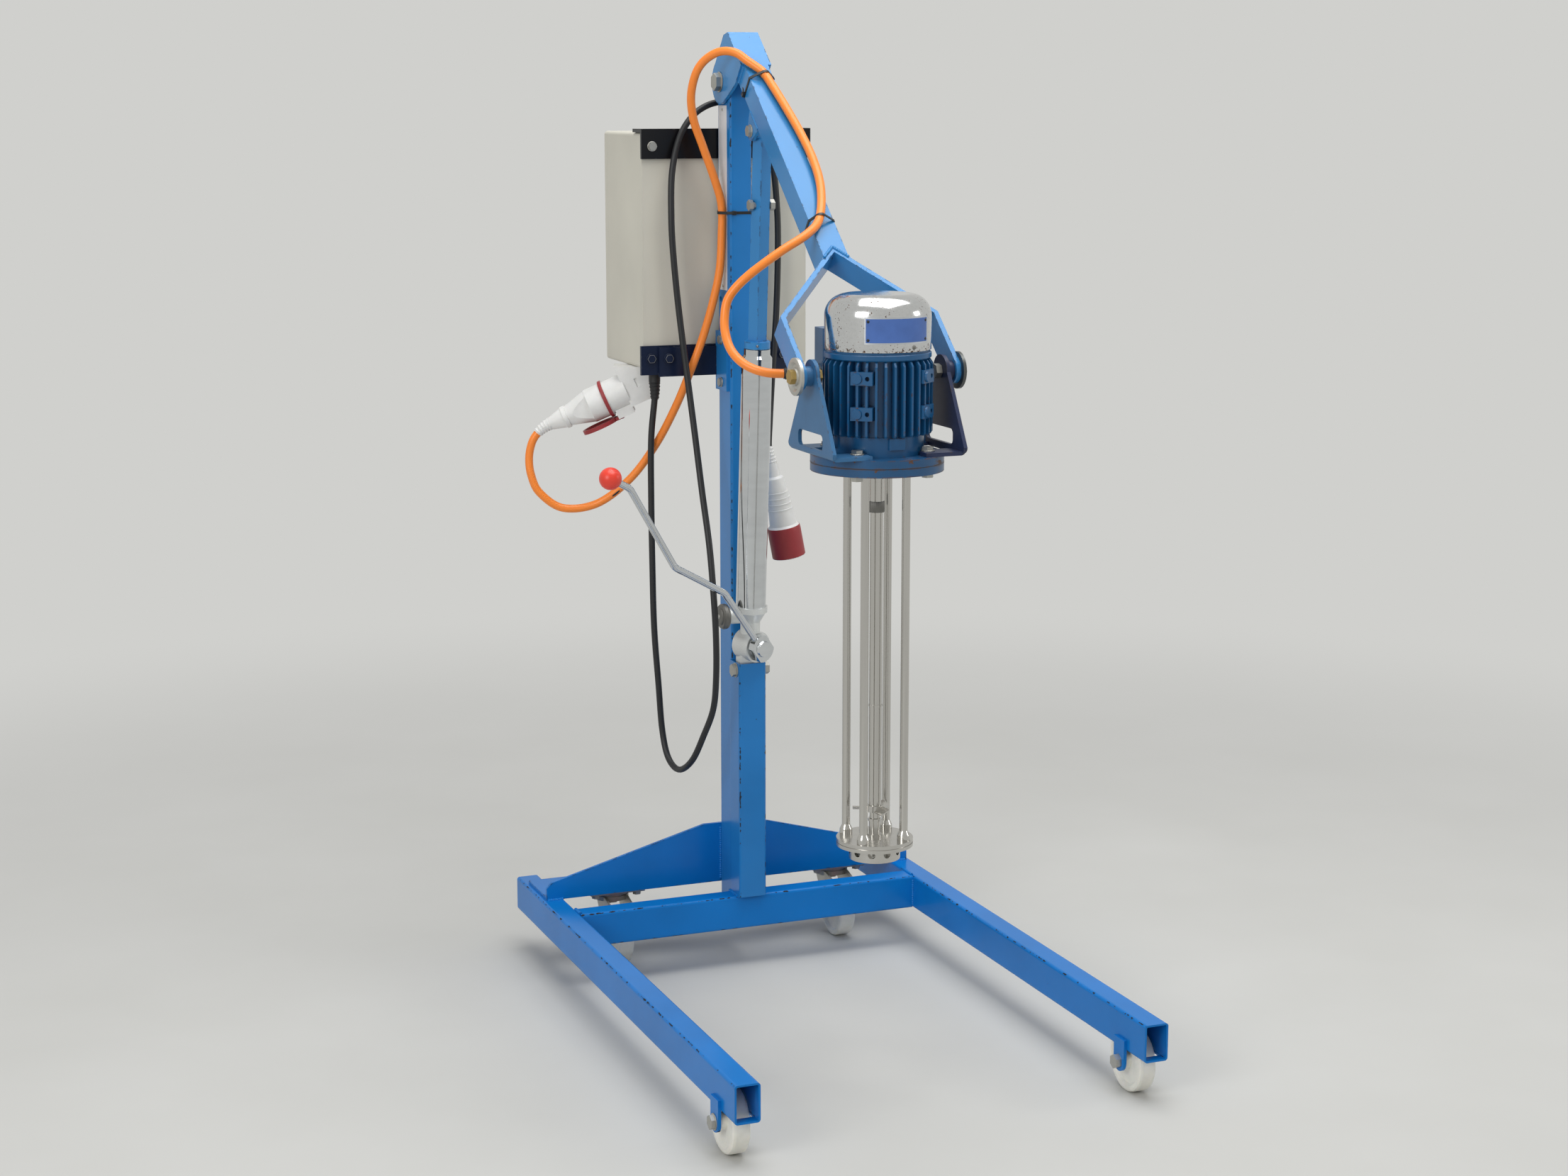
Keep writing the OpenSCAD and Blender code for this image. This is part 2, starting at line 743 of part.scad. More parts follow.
// Holes for those bolts through whatever lies behind the column
module bracket_holes() {
  for (x = [enc_x0 + 17, enc_x1 - 17]) translate([x, tube_d - 20, enc_top - 23])
    rotate([-90, 0, 0]) cylinder(d = 8 + hole, h = 40);
  for (x = [enc_x0 + 12, enc_x0 + 42, enc_x1 - 46]) translate([x, tube_d - 20, enc_z + 18])
    rotate([-90, 0, 0]) cylinder(d = 8 + hole, h = 40);
}

module clamp_bolts() {
  clamp_mid = enc_z + brk_h / 2 - 12;
  for (e = [-1, 1])
    translate([-tube_w / 2 - clamp_t, col_y + tube_d / 2, clamp_mid + e * (clamp_h / 2 - 14)])
      rotate([0, 90, 0]) hex_bolt(8, clamp_t + tube_t + 6);
}

module frame_bolts() {
  color(zinc) {
    for (s = [-1, 1], ex = [-1, 1], ey = [-1, 1])
      translate([s * caster_x + ex * (plate_w / 2 - 12), cast_y + ey * (plate_d / 2 - 10),
        rail_top + cross_t]) rotate([180, 0, 0]) nut_bolt(8, cross_t + plate_t);
    bracket_bolts();
    clamp_bolts();
  }
}

module pivot_bolts() {
  side = arm_w / 2 + cheek_t + face_gap;
  color(zinc) {
    translate([-side, col_y + pivot_y, pivot_z]) rotate([0, 90, 0]) nut_bolt(pivot_d, 2 * side);
    translate([-post_w / 2, col_y - foot_y, foot_z]) rotate([0, 90, 0]) nut_bolt(foot_d, post_w);
  }
}

// Jack
module pump_body() {
  color(grey) in_jack() difference() {
    union() {
      translate([-20, -12, -15]) cube([40, 25, drum_z]);
      translate([0, 0, drum_z]) rotate([0, 0, drum_yaw]) translate([0, 16, 0]) rotate([90, 0, 0])
        cylinder(d = drum_d, h = 38);
      translate([0, 0, drum_z]) cylinder(d = 34, h = barrel_z - drum_z);
      translate([0, 0, valve_z]) rotate([0, -90, 0]) cylinder(d = 28, h = 42);
      translate([0, 0, barrel_z - 10]) cylinder(d = barrel_d + 6, h = 10);
      translate([0, 0, barrel_z - 29]) cylinder(d1 = 33, d2 = barrel_d + 3, h = 20);
    }
    bar_x(foot_d + 2 * run, 60);
    translate([0, 0, drum_z]) rotate([0, 0, drum_yaw]) translate([0, -18, 0]) rotate([90, 0, 0])
      cylinder(d = drum_d - 7, h = 10);
    translate([0, 0, drum_z]) rotate([0, 0, drum_yaw]) translate([0, -4, 0]) rotate([90, 0, 0])
      cylinder(d = rock_d + 2 * run, h = 30);
    translate([-24, 0, valve_z]) rotate([0, -90, 0]) cylinder(d = stem_d + 2 * run, h = 30);
  }
}

module jack_cylinder() {
  color(steel) in_jack() difference() {
    union() {
      translate([0, 0, barrel_z]) cylinder(d = barrel_d, h = barrel_l - 5);
      translate([0, 0, gland_z - 5]) cylinder(d1 = barrel_d, d2 = barrel_d - 7, h = 5);
      translate([0, 0, gland_z - 6]) cylinder(d = barrel_d - 7, h = gland_h + 6);
    }
    translate([0, 0, barrel_z - 1]) cylinder(d = barrel_bore, h = barrel_l - 14);
    translate([0, 0, gland_z - 20]) cylinder(d = ram_d + 2 * run, h = gland_h + 30);
  }
}

module release_knob() {
  color(grey) in_jack() translate([-42 - face_gap, 0, valve_z]) rotate([0, -90, 0]) {
    rotate_extrude() polygon([[0, 0], [valve_d / 2 - 4, 0], [valve_d / 2 - 1, 2], [valve_d / 2, 5],
      [valve_d / 2, valve_w - 6], [valve_d / 2 - 2, valve_w - 3], [valve_d / 2 - 7, valve_w - 3],
      [valve_d / 2 - 8, valve_w - 1], [valve_d / 2 - 10, valve_w], [0, valve_w]]);
    translate([0, 0, -16]) cylinder(d = stem_d, h = 17);
  }
}

// One length of rod between two points
module rod_between(a, b, d) {
  v = b - a;
  translate(a) rotate([0, acos(v[2] / norm(v)), atan2(v[1], v[0])]) cylinder(d = d, h = norm(v));
}

// A bend of the same rod round corner b, in a plane of constant Y
module rod_bend(a, b, c, d, r) {
  u = unit(a - b);
  v = unit(c - b);
  half = acos(u * v) / 2;
  mid = unit(u + v) * r / sin(half);
  p = u * r / tan(half) - mid;
  q = v * r / tan(half) - mid;
  sweep = (atan2(q[2], q[0]) - atan2(p[2], p[0]) + 540) % 360 - 180;
  start = sweep > 0 ? atan2(p[2], p[0]) : atan2(q[2], q[0]);
  translate(b + mid) rotate([90, 0, 0]) rotate([0, 0, start])
    rotate_extrude(angle = abs(sweep)) translate([r, 0]) circle(d = d);
}

function lever_at(i) = [-lever_path[i][0], -rock_s, lever_path[i][1]];
function lever_cut(i) = i < 1 || i > len(lever_path) - 2 ? 0
  : lever_bend / tan(acos(unit(lever_at(i - 1) - lever_at(i)) * unit(lever_at(i + 1) - lever_at(i))) / 2);
function lever_in(i) = max(lever_cut(i) - 1.5, 0);
function lever_dir(i) = unit(lever_at(i + 1) - lever_at(i));

module pump_lever() {
  color(steel) in_lever() {
    translate([0, -5, 0]) rotate([90, 0, 0]) cylinder(d = rock_d, h = rock_s + 2);
    translate([0, -rock_s - 1, 0]) xz(12) intersection() {
      circle(d = cap_d + 8);
      rotate(lever_turn) square([2 * cap_d, cap_d - 3], center = true);
    }
    translate([0, -rock_s - 6, 0]) rotate([90, 0, 0]) cylinder(d1 = cap_d - 10, d2 = cap_d - 14, h = 5);
    for (i = [0 : len(lever_path) - 2])
      rod_between(lever_at(i) + lever_in(i) * lever_dir(i),
        lever_at(i + 1) - lever_in(i + 1) * lever_dir(i), lever_d - 0.2);
    for (i = [1 : len(lever_path) - 2])
      rod_bend(lever_at(i - 1), lever_at(i), lever_at(i + 1), lever_d, lever_bend);
  }
}

module lever_knob() {
  last = len(lever_path) - 1;
  color(red) in_lever() difference() {
    translate(lever_at(last)) sphere(d = ball_d);
    rod_between(lever_at(last - 1), lever_at(last), lever_d + 2 * run);
  }
}

module ram_rod() {
  color(steel) in_jack() {
    translate([0, 0, barrel_z + 16]) cylinder(d = barrel_bore - 2 * run, h = 30);
    translate([0, 0, barrel_z + 40]) cylinder(d = ram_d, h = collar_z - barrel_z - 40 + 8);
  }
}

module push_tube() {
  eye_r = link_d / 2 + eye_slack + eye_wall;
  hole_r = link_d / 2 + eye_slack;
  eye_x = arm_w - 2 * link_t - 2;
  color(blue) in_jack() difference() {
    union() {
      translate([0, 0, collar_z]) cylinder(d = collar_d, h = collar_h);
      translate([0, 0, collar_z + collar_h - 1]) rotate([0, 0, push_turn])
        linear_extrude(jack_len - collar_z - collar_h - hole_r - 1) difference() {
          square(push_w, center = true);
          square(push_w - 2 * push_t, center = true);
        }
      translate([0, 0, jack_len]) yz(eye_x) {
        for (e = [-1, 1]) translate([e * eye_play, 0]) circle(eye_r);
        square([2 * eye_play, 2 * eye_r], center = true);
      }
    }
    translate([0, 0, jack_len]) yz(2 * eye_x) {
      for (e = [-1, 1]) translate([e * eye_play, 0]) circle(hole_r);
      square([2 * eye_play, 2 * hole_r], center = true);
    }
    translate([0, 0, collar_z - 1]) cylinder(d = ram_d + 2 * run, h = 10);
    translate([0, 0, collar_z + collar_h / 2]) rotate([90, 0, -20]) cylinder(d = 5, h = collar_d);
    translate([0, 0, jack_len - cross_bolt]) bar_x(link_d + hole, 3 * push_w);
  }
}

module ram_bolt() {
  half = push_w / 2 * (cos(push_turn) + sin(push_turn)) + 1;
  color(zinc) in_jack() translate([-half, 0, jack_len - cross_bolt]) rotate([0, 90, 0])
    nut_bolt(link_d, 2 * half);
}

// Arm
module arm_notch() {
  k = yoke_top + yoke_c;
  translate([0, 0, arm_lo - 1]) linear_extrude(arm_h + 2)
    polygon([[0, k], [2 * arm_w, k - 2 * arm_w * yoke_k], [2 * arm_w, -2 * arm_reach],
      [-2 * arm_w, -2 * arm_reach], [-2 * arm_w, k - 2 * arm_w * yoke_k]]);
}

module lift_arm() {
  tip = yoke_top - arm_w * yoke_k / 2 - 2;
  color(blue) in_arm() difference() {
    union() {
      difference() {
        yz(arm_w) polygon([[arm_tail, arm_lo], [arm_tail, arm_hi - 16], [arm_tail - 12, arm_hi],
          [tip, arm_hi], [tip, arm_lo]]);
        yz(arm_w - 2 * tube_t) polygon([[arm_tail - tube_t, arm_lo + tube_t],
          [arm_tail - tube_t, arm_hi - 18], [arm_tail - 14, arm_hi - tube_t],
          [yoke_top - 14, arm_hi - tube_t], [yoke_top - 14, arm_lo + tube_t]]);
        arm_notch();
      }
      for (e = [-1, 1]) translate([e * (arm_w + cheek_t) / 2, 0, 0]) yz(cheek_t) {
        circle(cheek_r);
        polygon([[arm_tail, -8], [arm_tail, arm_hi - 16], [arm_tail - 12, arm_hi],
          [-cheek_f, arm_hi], [-cheek_f, arm_lo], [-48, 18], [-33, -16]]);
      }
      for (e = [-1, 1]) translate([e * (arm_w - link_t) / 2, 0, 0]) yz(link_t) {
        translate([-link_y, link_z]) circle(link_r);
        polygon([[-link_y - link_r, link_z], [link_r - link_y, link_z],
          [link_r + 10 - link_y, arm_lo + tube_t], [-link_y - link_r - 10, arm_lo + tube_t]]);
      }
    }
    bar_x(pivot_d + 2 * run, 4 * arm_w);
    translate([0, -link_y, link_z]) bar_x(link_d + hole, 2 * arm_w);
  }
}

module link_bolt() {
  color(zinc) in_arm() translate([-arm_w / 2, -link_y, link_z]) rotate([0, 90, 0])
    nut_bolt(link_d, arm_w);
}

module yoke() {
  o = yoke_top + yoke_c;
  i = yoke_top - yoke_c;
  end = -arm_reach;
  color(blue) in_arm() difference() {
    union() {
      translate([0, 0, arm_rise - yoke_w / 2]) linear_extrude(yoke_w) polygon([
        [-limb_out, end], [-limb_out, o - limb_out * yoke_k], [0, o],
        [limb_out, o - limb_out * yoke_k], [limb_out, end], [limb_in, end],
        [limb_in, i - limb_in * yoke_k], [0, i], [-limb_in, i - limb_in * yoke_k], [-limb_in, end]]);
      for (e = [-1, 1]) translate([e * yoke_half, end, arm_rise]) bar_x(yoke_w, yoke_t);
    }
    translate([0, end, arm_rise]) bar_x(trun_d + hole, 3 * limb_out);
  }
}

module trunnion_bolts() {
  color(brass) for (s = [0, 1]) in_arm() mirror([s, 0, 0])
    translate([limb_out + disc_t, -arm_reach, arm_rise]) rotate([0, -90, 0])
      nut_bolt(trun_d, limb_out + disc_t - hang_x + face_gap);
}

module trunnion_discs() {
  color(zinc) for (s = [-1, 1]) in_arm() translate([s * limb_out, -arm_reach, arm_rise])
    rotate([0, s * 90, 0]) rotate_extrude() polygon([[trun_d / 2 + hole, 0], [disc_d / 2, 0],
      [disc_d / 2, disc_t - 1], [disc_d / 2 - 2, disc_t], [disc_d / 2 - 6, disc_t],
      [disc_d / 2 - 10, disc_t - 3], [trun_d + 2, disc_t - 3], [trun_d + 1, disc_t],
      [trun_d / 2 + hole, disc_t]]);
}

// Head
module hanger(s) {
  difference() {
    union() {
      translate([s * (hang_x + hang_t / 2), 0, 0]) yz(hang_t) difference() {
        union() {
          circle(25);
          polygon(concat([[-25, 0], [25, 0]],
            [for (a = [0 : 15 : 90]) [hang_foot - 12 + 12 * cos(a), 12 - trun_up - 12 * sin(a)]],
            [for (a = [90 : -15 : 0]) [12 - hang_foot - 12 * cos(a), 12 - trun_up - 12 * sin(a)]]));
        }
        translate([0, 24 - trun_up]) round_rect(96, 24, 8);
      }
      for (e = [-1, 1]) translate([s * (hang_x + hang_t) / 2 + s * 22, e * (hang_foot - 26), -trun_up])
        translate([-(hang_x + hang_t) / 2 + 22, -22, 0]) cube([hang_x + hang_t - 44, 44, hang_t]);
      translate([s * (hang_x + limb_in - face_gap) / 2, 0, 0]) bar_x(30, limb_in - hang_x - face_gap);
    }
    bar_x(trun_d + 2 * run, 3 * limb_out);
    translate([s * (hang_x + hang_t), 0, -trun_up]) xz(3 * hang_foot) difference() {
      square(2 * hang_bend, center = true);
      translate([-s * hang_bend, hang_bend]) circle(hang_bend);
    }
    translate([0, 0, -trun_up - 1]) cylinder(d = bell_d + 3, h = 20);
    flange_holes(bolt_d + 2 * hole);
  }
}

module flange_holes(d) {
  for (sx = [-1, 1], sy = [-1, 1])
    translate([sx * bolt_sq / 2, sy * bolt_sq / 2, -2 * trun_up]) cylinder(d = d, h = 2 * trun_up);
}

module hanger_brackets() {
  color(motor_blue) in_head() {
    hanger(-1);
    hanger(1);
  }
}

module motor_frame() {
  color(motor_blue) in_head() difference() {
    union() {
      translate([0, 0, flange_z]) cylinder(d = bell_d, h = bell_h);
      translate([0, 0, frame_lo]) cylinder(d = body_d, h = frame_h);
      translate([0, 0, frame_hi - 1]) cylinder(d = cowl_d - 2 * cowl_t - 0.2, h = cowl_gap + 6);
      translate([0, 0, frame_hi - 7]) rotate_extrude($fn = 96) polygon([[0, 0], [cowl_d / 2 - 1, 0],
        [cowl_d / 2 + 0.5, 1.5], [cowl_d / 2 + 0.5, 8], [cowl_d / 2 - 1, 9.5], [0, 9.5]]);
      for (k = [0 : fin_n - 1]) rotate([0, 0, 360 * (k + 0.5) / fin_n]) translate([0, 0, frame_lo + 1])
        yz(fin_t) polygon([[4 - body_d / 2, 0], [2 - fin_d / 2, 0], [-fin_d / 2, 3],
          [-fin_d / 2, frame_h - 16], [4 - fin_d / 2, frame_h - 10], [8 - fin_d / 2, frame_h - 7],
          [4 - body_d / 2, frame_h - 7]]);
      for (a = [-40, 40], z = [0, -53]) rotate([0, 0, a]) {
        translate([-17, -fin_d / 2 - 2, z - 10]) cube([34, 24, 20]);
        translate([-7, -fin_d / 2, z]) rotate([90, 0, 0]) cylinder(d1 = 18, d2 = 15, h = 5);
      }
      for (k = [0 : 3]) rotate([0, 0, 90 * k])
        translate([-13, -bell_d / 2 - 4, flange_z + 12]) cube([26, 14, bell_h - 13]);
      translate([-42, fin_d / 2 - 30, term_lo + 8]) cube([84, 32, frame_hi - term_lo - 13]);
    }
    translate([0, 0, flange_z - 1]) cylinder(d = bearing_d + 2 * run, h = frame_h + bell_h + 40);
    translate([0, 0, flange_z + 22]) cylinder(d = 118, h = 22);
    translate([0, 0, frame_lo + 14]) cylinder(d = armature_d + 2, h = frame_h - 28);
    translate([0, 0, frame_hi - 34]) cylinder(d = 118, h = 20);
    for (a = [-40, 40], z = [0, -53]) rotate([0, 0, a]) translate([9, -fin_d / 2 + 8, z])
      rotate([90, 0, 0]) cylinder(d = 7, h = 20);
  }
}

module cowl_2d(r, h, c) {
  square([r, h - c]);
  square([r - c, h]);
  translate([r - c, h - c]) circle(c);
}

module fan_cowl() {
  color(steel) in_head() translate([0, 0, cowl_lo]) difference() {
    rotate_extrude($fn = 96) intersection() {
      cowl_2d(cowl_d / 2, cowl_h, cowl_r);
      square([cowl_d, 2 * cowl_h]);
    }
    translate([0, 0, -1]) rotate_extrude($fn = 96) intersection() {
      cowl_2d(cowl_d / 2 - cowl_t, cowl_h - cowl_t + 1, cowl_r - cowl_t);
      square([cowl_d, 2 * cowl_h]);
    }
  }
}

module motor_flange() {
  color(motor_blue) in_head() difference() {
    translate([0, 0, mount_z]) cylinder(d = flange_d, h = flange_t, $fn = 96);
    translate([0, 0, mount_z - 1]) cylinder(d = shaft_d + 8, h = flange_t + 2);
    flange_holes(bolt_d + 2 * hole);
  }
}

module mixer_flange() {
  color(motor_blue) in_head() difference() {
    translate([0, 0, rods_z]) cylinder(d = flange_d, h = mount_t, $fn = 96);
    translate([0, 0, rods_z - 1]) cylinder(d = shaft_d + 8, h = mount_t + 2);
    flange_holes(bolt_d + 2 * hole);
  }
}

module flange_bolts() {
  color(zinc) in_head() for (sx = [-1, 1], sy = [-1, 1])
    translate([sx * bolt_sq / 2, sy * bolt_sq / 2, hang_t - trun_up]) rotate([180, 0, 0])
      nut_bolt(bolt_d, hang_t + flange_t + mount_t);
}

module terminal_box() {
  color(motor_blue) in_head() difference() {
    translate([0, term_y + term_d / 2, term_lo]) linear_extrude(term_h)
      round_rect(term_w, term_d, 6);
    translate([-term_w / 2 + 4, term_y - 1, term_lo + 4]) cube([term_w - 8, term_d - 4, term_h - 8]);
  }
}

module cable_gland() {
  color(zinc) in_head() translate([-term_w / 2, gland_y, gland_mid]) rotate([0, -90, 0]) {
    cylinder(d = 28, h = 10, $fn = 6);
    cylinder(d = 22, h = 28);
  }
}

module tie_rods() {
  color(steel) in_head() for (sx = [-1, 1], sy = [-1, 1])
    translate([sx * rod_sq / 2, sy * rod_sq / 2, disc_z]) {
      cylinder(d = rod_d, h = rod_l);
      cylinder(d = rod_d + 7, h = 8);
      translate([0, 0, 8]) cylinder(d1 = rod_d + 7, d2 = rod_d, h = 7);
      translate([0, 0, rod_l - 9]) cylinder(d = rod_d + 6, h = 9, $fn = 6);
    }
}

module base_disc() {
  color(steel) in_head() difference() {
    union() {
      translate([0, 0, stator_z]) cylinder(d = base_d, h = base_t / 2 - 0.6, $fn = 96);
      translate([0, 0, stator_z]) cylinder(d = base_d - 3, h = base_t, $fn = 96);
      translate([0, 0, stator_z + base_t / 2 + 0.6])
        cylinder(d = base_d, h = base_t / 2 - 0.6, $fn = 96);
      translate([0, 0, disc_z - 1]) cylinder(d = bush_d, h = bush_h + 1);
      translate([0, 0, disc_z - 1]) cylinder(d = bush_d + 5, h = 6);
      translate([0, 0, disc_z + bush_h - 4]) cylinder(d = bush_d + 3, h = 4);
    }
    translate([0, 0, stator_z - 1]) cylinder(d = tip_d + 4, h = base_t + bush_h + 2);
  }
}

module shaft_bearings() {
  color(brass) in_head() {
    for (z = [flange_z + 6, frame_hi - 14]) translate([0, 0, z]) difference() {
      cylinder(d = bearing_d, h = 12);
      translate([0, 0, -1]) cylinder(d = shaft_d + 2 * run, h = 14);
    }
    translate([0, 0, stator_z]) difference() {
      cylinder(d = tip_d + 4 - 2 * run, h = base_t + bush_h);
      translate([0, 0, -1]) cylinder(d = tip_d + 2 * run, h = base_t + bush_h + 2);
    }
  }
}

module stator_head() {
  color(steel) in_head() difference() {
    translate([0, 0, stator_z - stator_h]) cylinder(d = stator_d, h = stator_h, $fn = 96);
    translate([0, 0, stator_z - stator_h - 1]) cylinder(d = stator_d - 2 * stator_t, h = stator_h + 2);
    for (k = [0 : slot_n - 1]) rotate([0, 0, 360 * k / slot_n + 6])
      translate([0, -stator_d / 2 + stator_t + 3, stator_z - slot_d / 2 - 1.5]) rotate([90, 0, 0])
        cylinder(d = slot_d, h = stator_t + 6);
  }
}

module drive_shaft() {
  step = prop_mid - 5;
  color(steel) in_head() {
    translate([0, 0, step]) cylinder(d = shaft_d, h = frame_hi + cowl_gap + 42 - step);
    translate([0, 0, disc_z + bush_h + face_gap]) cylinder(d = neck_d, h = step - disc_z - bush_h + 1);
    translate([0, 0, stator_z - stator_h + 2]) cylinder(d = tip_d, h = base_t + stator_h + bush_h + 2);
    translate([0, 0, rods_z - 67]) cylinder(d = shaft_d + 2, h = 60);
    translate([0, 0, rods_z - 14]) cylinder(d = shaft_d + 7, h = 9);
    translate([0, 0, disc_z + 209]) cylinder(d = shaft_d + 1.5, h = 3);
    translate([0, 0, frame_lo + 18]) cylinder(d = armature_d, h = frame_h - 36);
  }
}

module rotor() {
  color(steel) in_head() difference() {
    union() {
      translate([0, 0, stator_z - stator_h + 2]) cylinder(d = tip_d + 12, h = stator_h - 3);
      intersection() {
        for (k = [0 : 3]) rotate([0, 0, 45 * k + 10])
          translate([-stator_d / 2, -3, stator_z - stator_h + 2]) cube([stator_d, 6, stator_h - 3]);
        translate([0, 0, stator_z - stator_h])
          cylinder(d = stator_d - 2 * stator_t - 2 * shear_gap, h = stator_h);
      }
    }
    translate([0, 0, stator_z - stator_h - 1]) cylinder(d = tip_d + 2 * run, h = stator_h + 2);
  }
}

module propeller() {
  color(steel) in_head() translate([0, 0, prop_mid]) difference() {
    union() {
      translate([0, 0, -5]) cylinder(d = shaft_d + 6, h = 10);
      for (k = [0 : 2]) rotate([0, 0, 120 * k + 35]) translate([shaft_d / 2 + 1, 0, 0])
        rotate([28, 0, 0]) translate([0, -8, -1]) cube([prop_d / 2 - shaft_d / 2 - 1, 16, 2]);
    }
    translate([0, 0, -20]) cylinder(d = shaft_d + 2 * run, h = 40);
  }
}

module cooling_fan() {
  hub = cowl_lo + 14;
  color(black) in_head() difference() {
    union() {
      translate([0, 0, hub]) cylinder(d = shaft_d + 16, h = 18);
      translate([0, 0, hub]) cylinder(d = cowl_d - 26, h = 2);
      for (k = [0 : 7]) rotate([0, 0, 45 * k]) translate([shaft_d / 2 + 4, -1, hub])
        cube([cowl_d / 2 - 17 - shaft_d / 2, 2, 16]);
    }
    translate([0, 0, hub - 1]) cylinder(d = shaft_d + 2 * run, h = 30);
  }
}

// Switch box
module enclosure_body() {
  w = enc_t;
  d = enc_d - door_d - face_gap;
  color(cream) translate([0, col_y, 0]) {
    difference() {
      translate([enc_x, box_y, enc_z + enc_h / 2]) rotate([-90, 0, 0])
        linear_extrude(d) round_rect(enc_w, enc_h, 6);
      translate([enc_x, box_y + w, enc_z + enc_h / 2]) rotate([-90, 0, 0])
        linear_extrude(d) round_rect(enc_w - 2 * w, enc_h - 2 * w, 4);
      bracket_holes();
    }
    for (z = [enc_z + 60, enc_top - 60]) {
      translate([enc_x1 - 1, door_y - 30, z - 20]) cube([hinge_x - enc_x1 + 1, 30 - face_gap - 5, 16]);
      translate([hinge_x, door_y, z - 20]) cylinder(d = hinge_d + 6, h = 16);
      translate([hinge_x - 1, door_y - 10, z - 20]) cube([hinge_d / 2 + 2, 10, 16]);
      translate([hinge_x, door_y, z - 20]) cylinder(d = hinge_d, h = 36);
    }
  }
}

module enclosure_door() {
  color(cream) translate([0, col_y, 0]) difference() {
    union() {
      difference() {
        translate([enc_x, door_y, enc_z + enc_h / 2]) rotate([-90, 0, 0])
          linear_extrude(door_d) round_rect(enc_w, enc_h, 6);
        translate([enc_x, door_y - enc_t, enc_z + enc_h / 2]) rotate([-90, 0, 0])
          linear_extrude(door_d) round_rect(enc_w - 2 * enc_t, enc_h - 2 * enc_t, 4);
      }
      translate([enc_x, door_y + door_d - 1, enc_z + 0.62 * enc_h]) rotate([-90, 0, 0])
        linear_extrude(4) round_rect(66, 66, 5);
      for (z = [enc_z + 60, enc_top - 60]) {
        translate([hinge_x, door_y, z - 4 + face_gap]) cylinder(d = hinge_d + 6, h = 18);
        translate([enc_x1 - 1, door_y + 1, z - 4 + face_gap]) cube([hinge_x - enc_x1 + 1, 6, 18]);
      }
    }
    for (z = [enc_z + 60, enc_top - 60])
      translate([hinge_x, door_y, z - 30]) cylinder(d = hinge_d + 2 * run, h = 60);
    translate([enc_x, door_y, enc_z + 0.62 * enc_h]) rotate([-90, 0, 0])
      cylinder(d = spindle_d + 2 * run, h = 3 * door_d);
  }
}

module main_switch() {
  color(black) translate([enc_x, col_y + door_y + door_d + 3 + face_gap, enc_z + 0.62 * enc_h])
    rotate([-90, 0, 0]) {
      cylinder(d = switch_d, h = 12);
      translate([-6, -switch_d / 2 + 2, 0]) cube([12, switch_d - 4, switch_h - 3 - face_gap]);
      translate([0, 0, -20]) cylinder(d = spindle_d, h = 21);
    }
}

module enclosure_brackets() {
  color(navy) translate([0, col_y, 0]) difference() {
    union() {
      translate([enc_x0 - 2, tube_d, enc_top - brk_h + brk_t]) cube([enc_w + 8, brk_t, brk_h]);
      translate([enc_x0 - 2, tube_d, enc_top]) cube([enc_w + 8, brk_t + brk_d, brk_t]);
      translate([enc_x0 - 6, tube_d, enc_z - 10]) cube([enc_w - 20, brk_t, brk_h]);
      translate([enc_x0 + 25, tube_d - brk_t, enc_z - 13])
        cube([-tube_w / 2 - clamp_t - enc_x0 - 25, brk_t, brk_h]);
    }
    bracket_holes();
  }
}

module starter_unit() {
  y = box_y + enc_t;
  color(grey) translate([enc_x, col_y + y, enc_z]) {
    for (sx = [-1, 1], z = [0.15, 0.85]) translate([0.37 * sx * enc_w, 0, z * enc_h])
      rotate([-90, 0, 0]) cylinder(d = 0.04 * enc_w, h = 0.065 * enc_d);
    translate([-0.42 * enc_w, 0.06 * enc_d, 0.075 * enc_h])
      cube([0.84 * enc_w, 0.01 * enc_d, 0.85 * enc_h]);
    translate([-0.33 * enc_w, 0.065 * enc_d, 0.59 * enc_h])
      cube([0.66 * enc_w, 0.04 * enc_d, 0.088 * enc_h]);
    translate([-0.23 * enc_w, 0.1 * enc_d, 0.52 * enc_h]) cube([0.15 * enc_w, 0.38 * enc_d, 0.21 * enc_h]);
    translate([-0.23 * enc_w, 0.1 * enc_d, 0.4 * enc_h]) cube([0.15 * enc_w, 0.35 * enc_d, 0.13 * enc_h]);
    translate([0, 0.1 * enc_d, 0.54 * enc_h]) cube([0.24 * enc_w, 0.3 * enc_d, 0.19 * enc_h]);
    translate([-0.3 * enc_w, 0.065 * enc_d, 0.2 * enc_h]) cube([0.5 * enc_w, 0.2 * enc_d, 0.1 * enc_h]);
  }
}

module mains_gland() {
  color(grey) translate([main_gland[0], col_y + main_gland[1], main_gland[2]]) {
    cylinder(d = 20, h = enc_z - main_gland[2]);
    translate([0, 0, enc_z - main_gland[2] - 8]) cylinder(d = 27, h = 8, $fn = 6);
  }
}

// Height of the box underside over the barrel axis, x along the barrel
function sock_roof(x) = (enc_z - sock_at[2] + x * sin(sock_pitch)) / cos(sock_pitch);

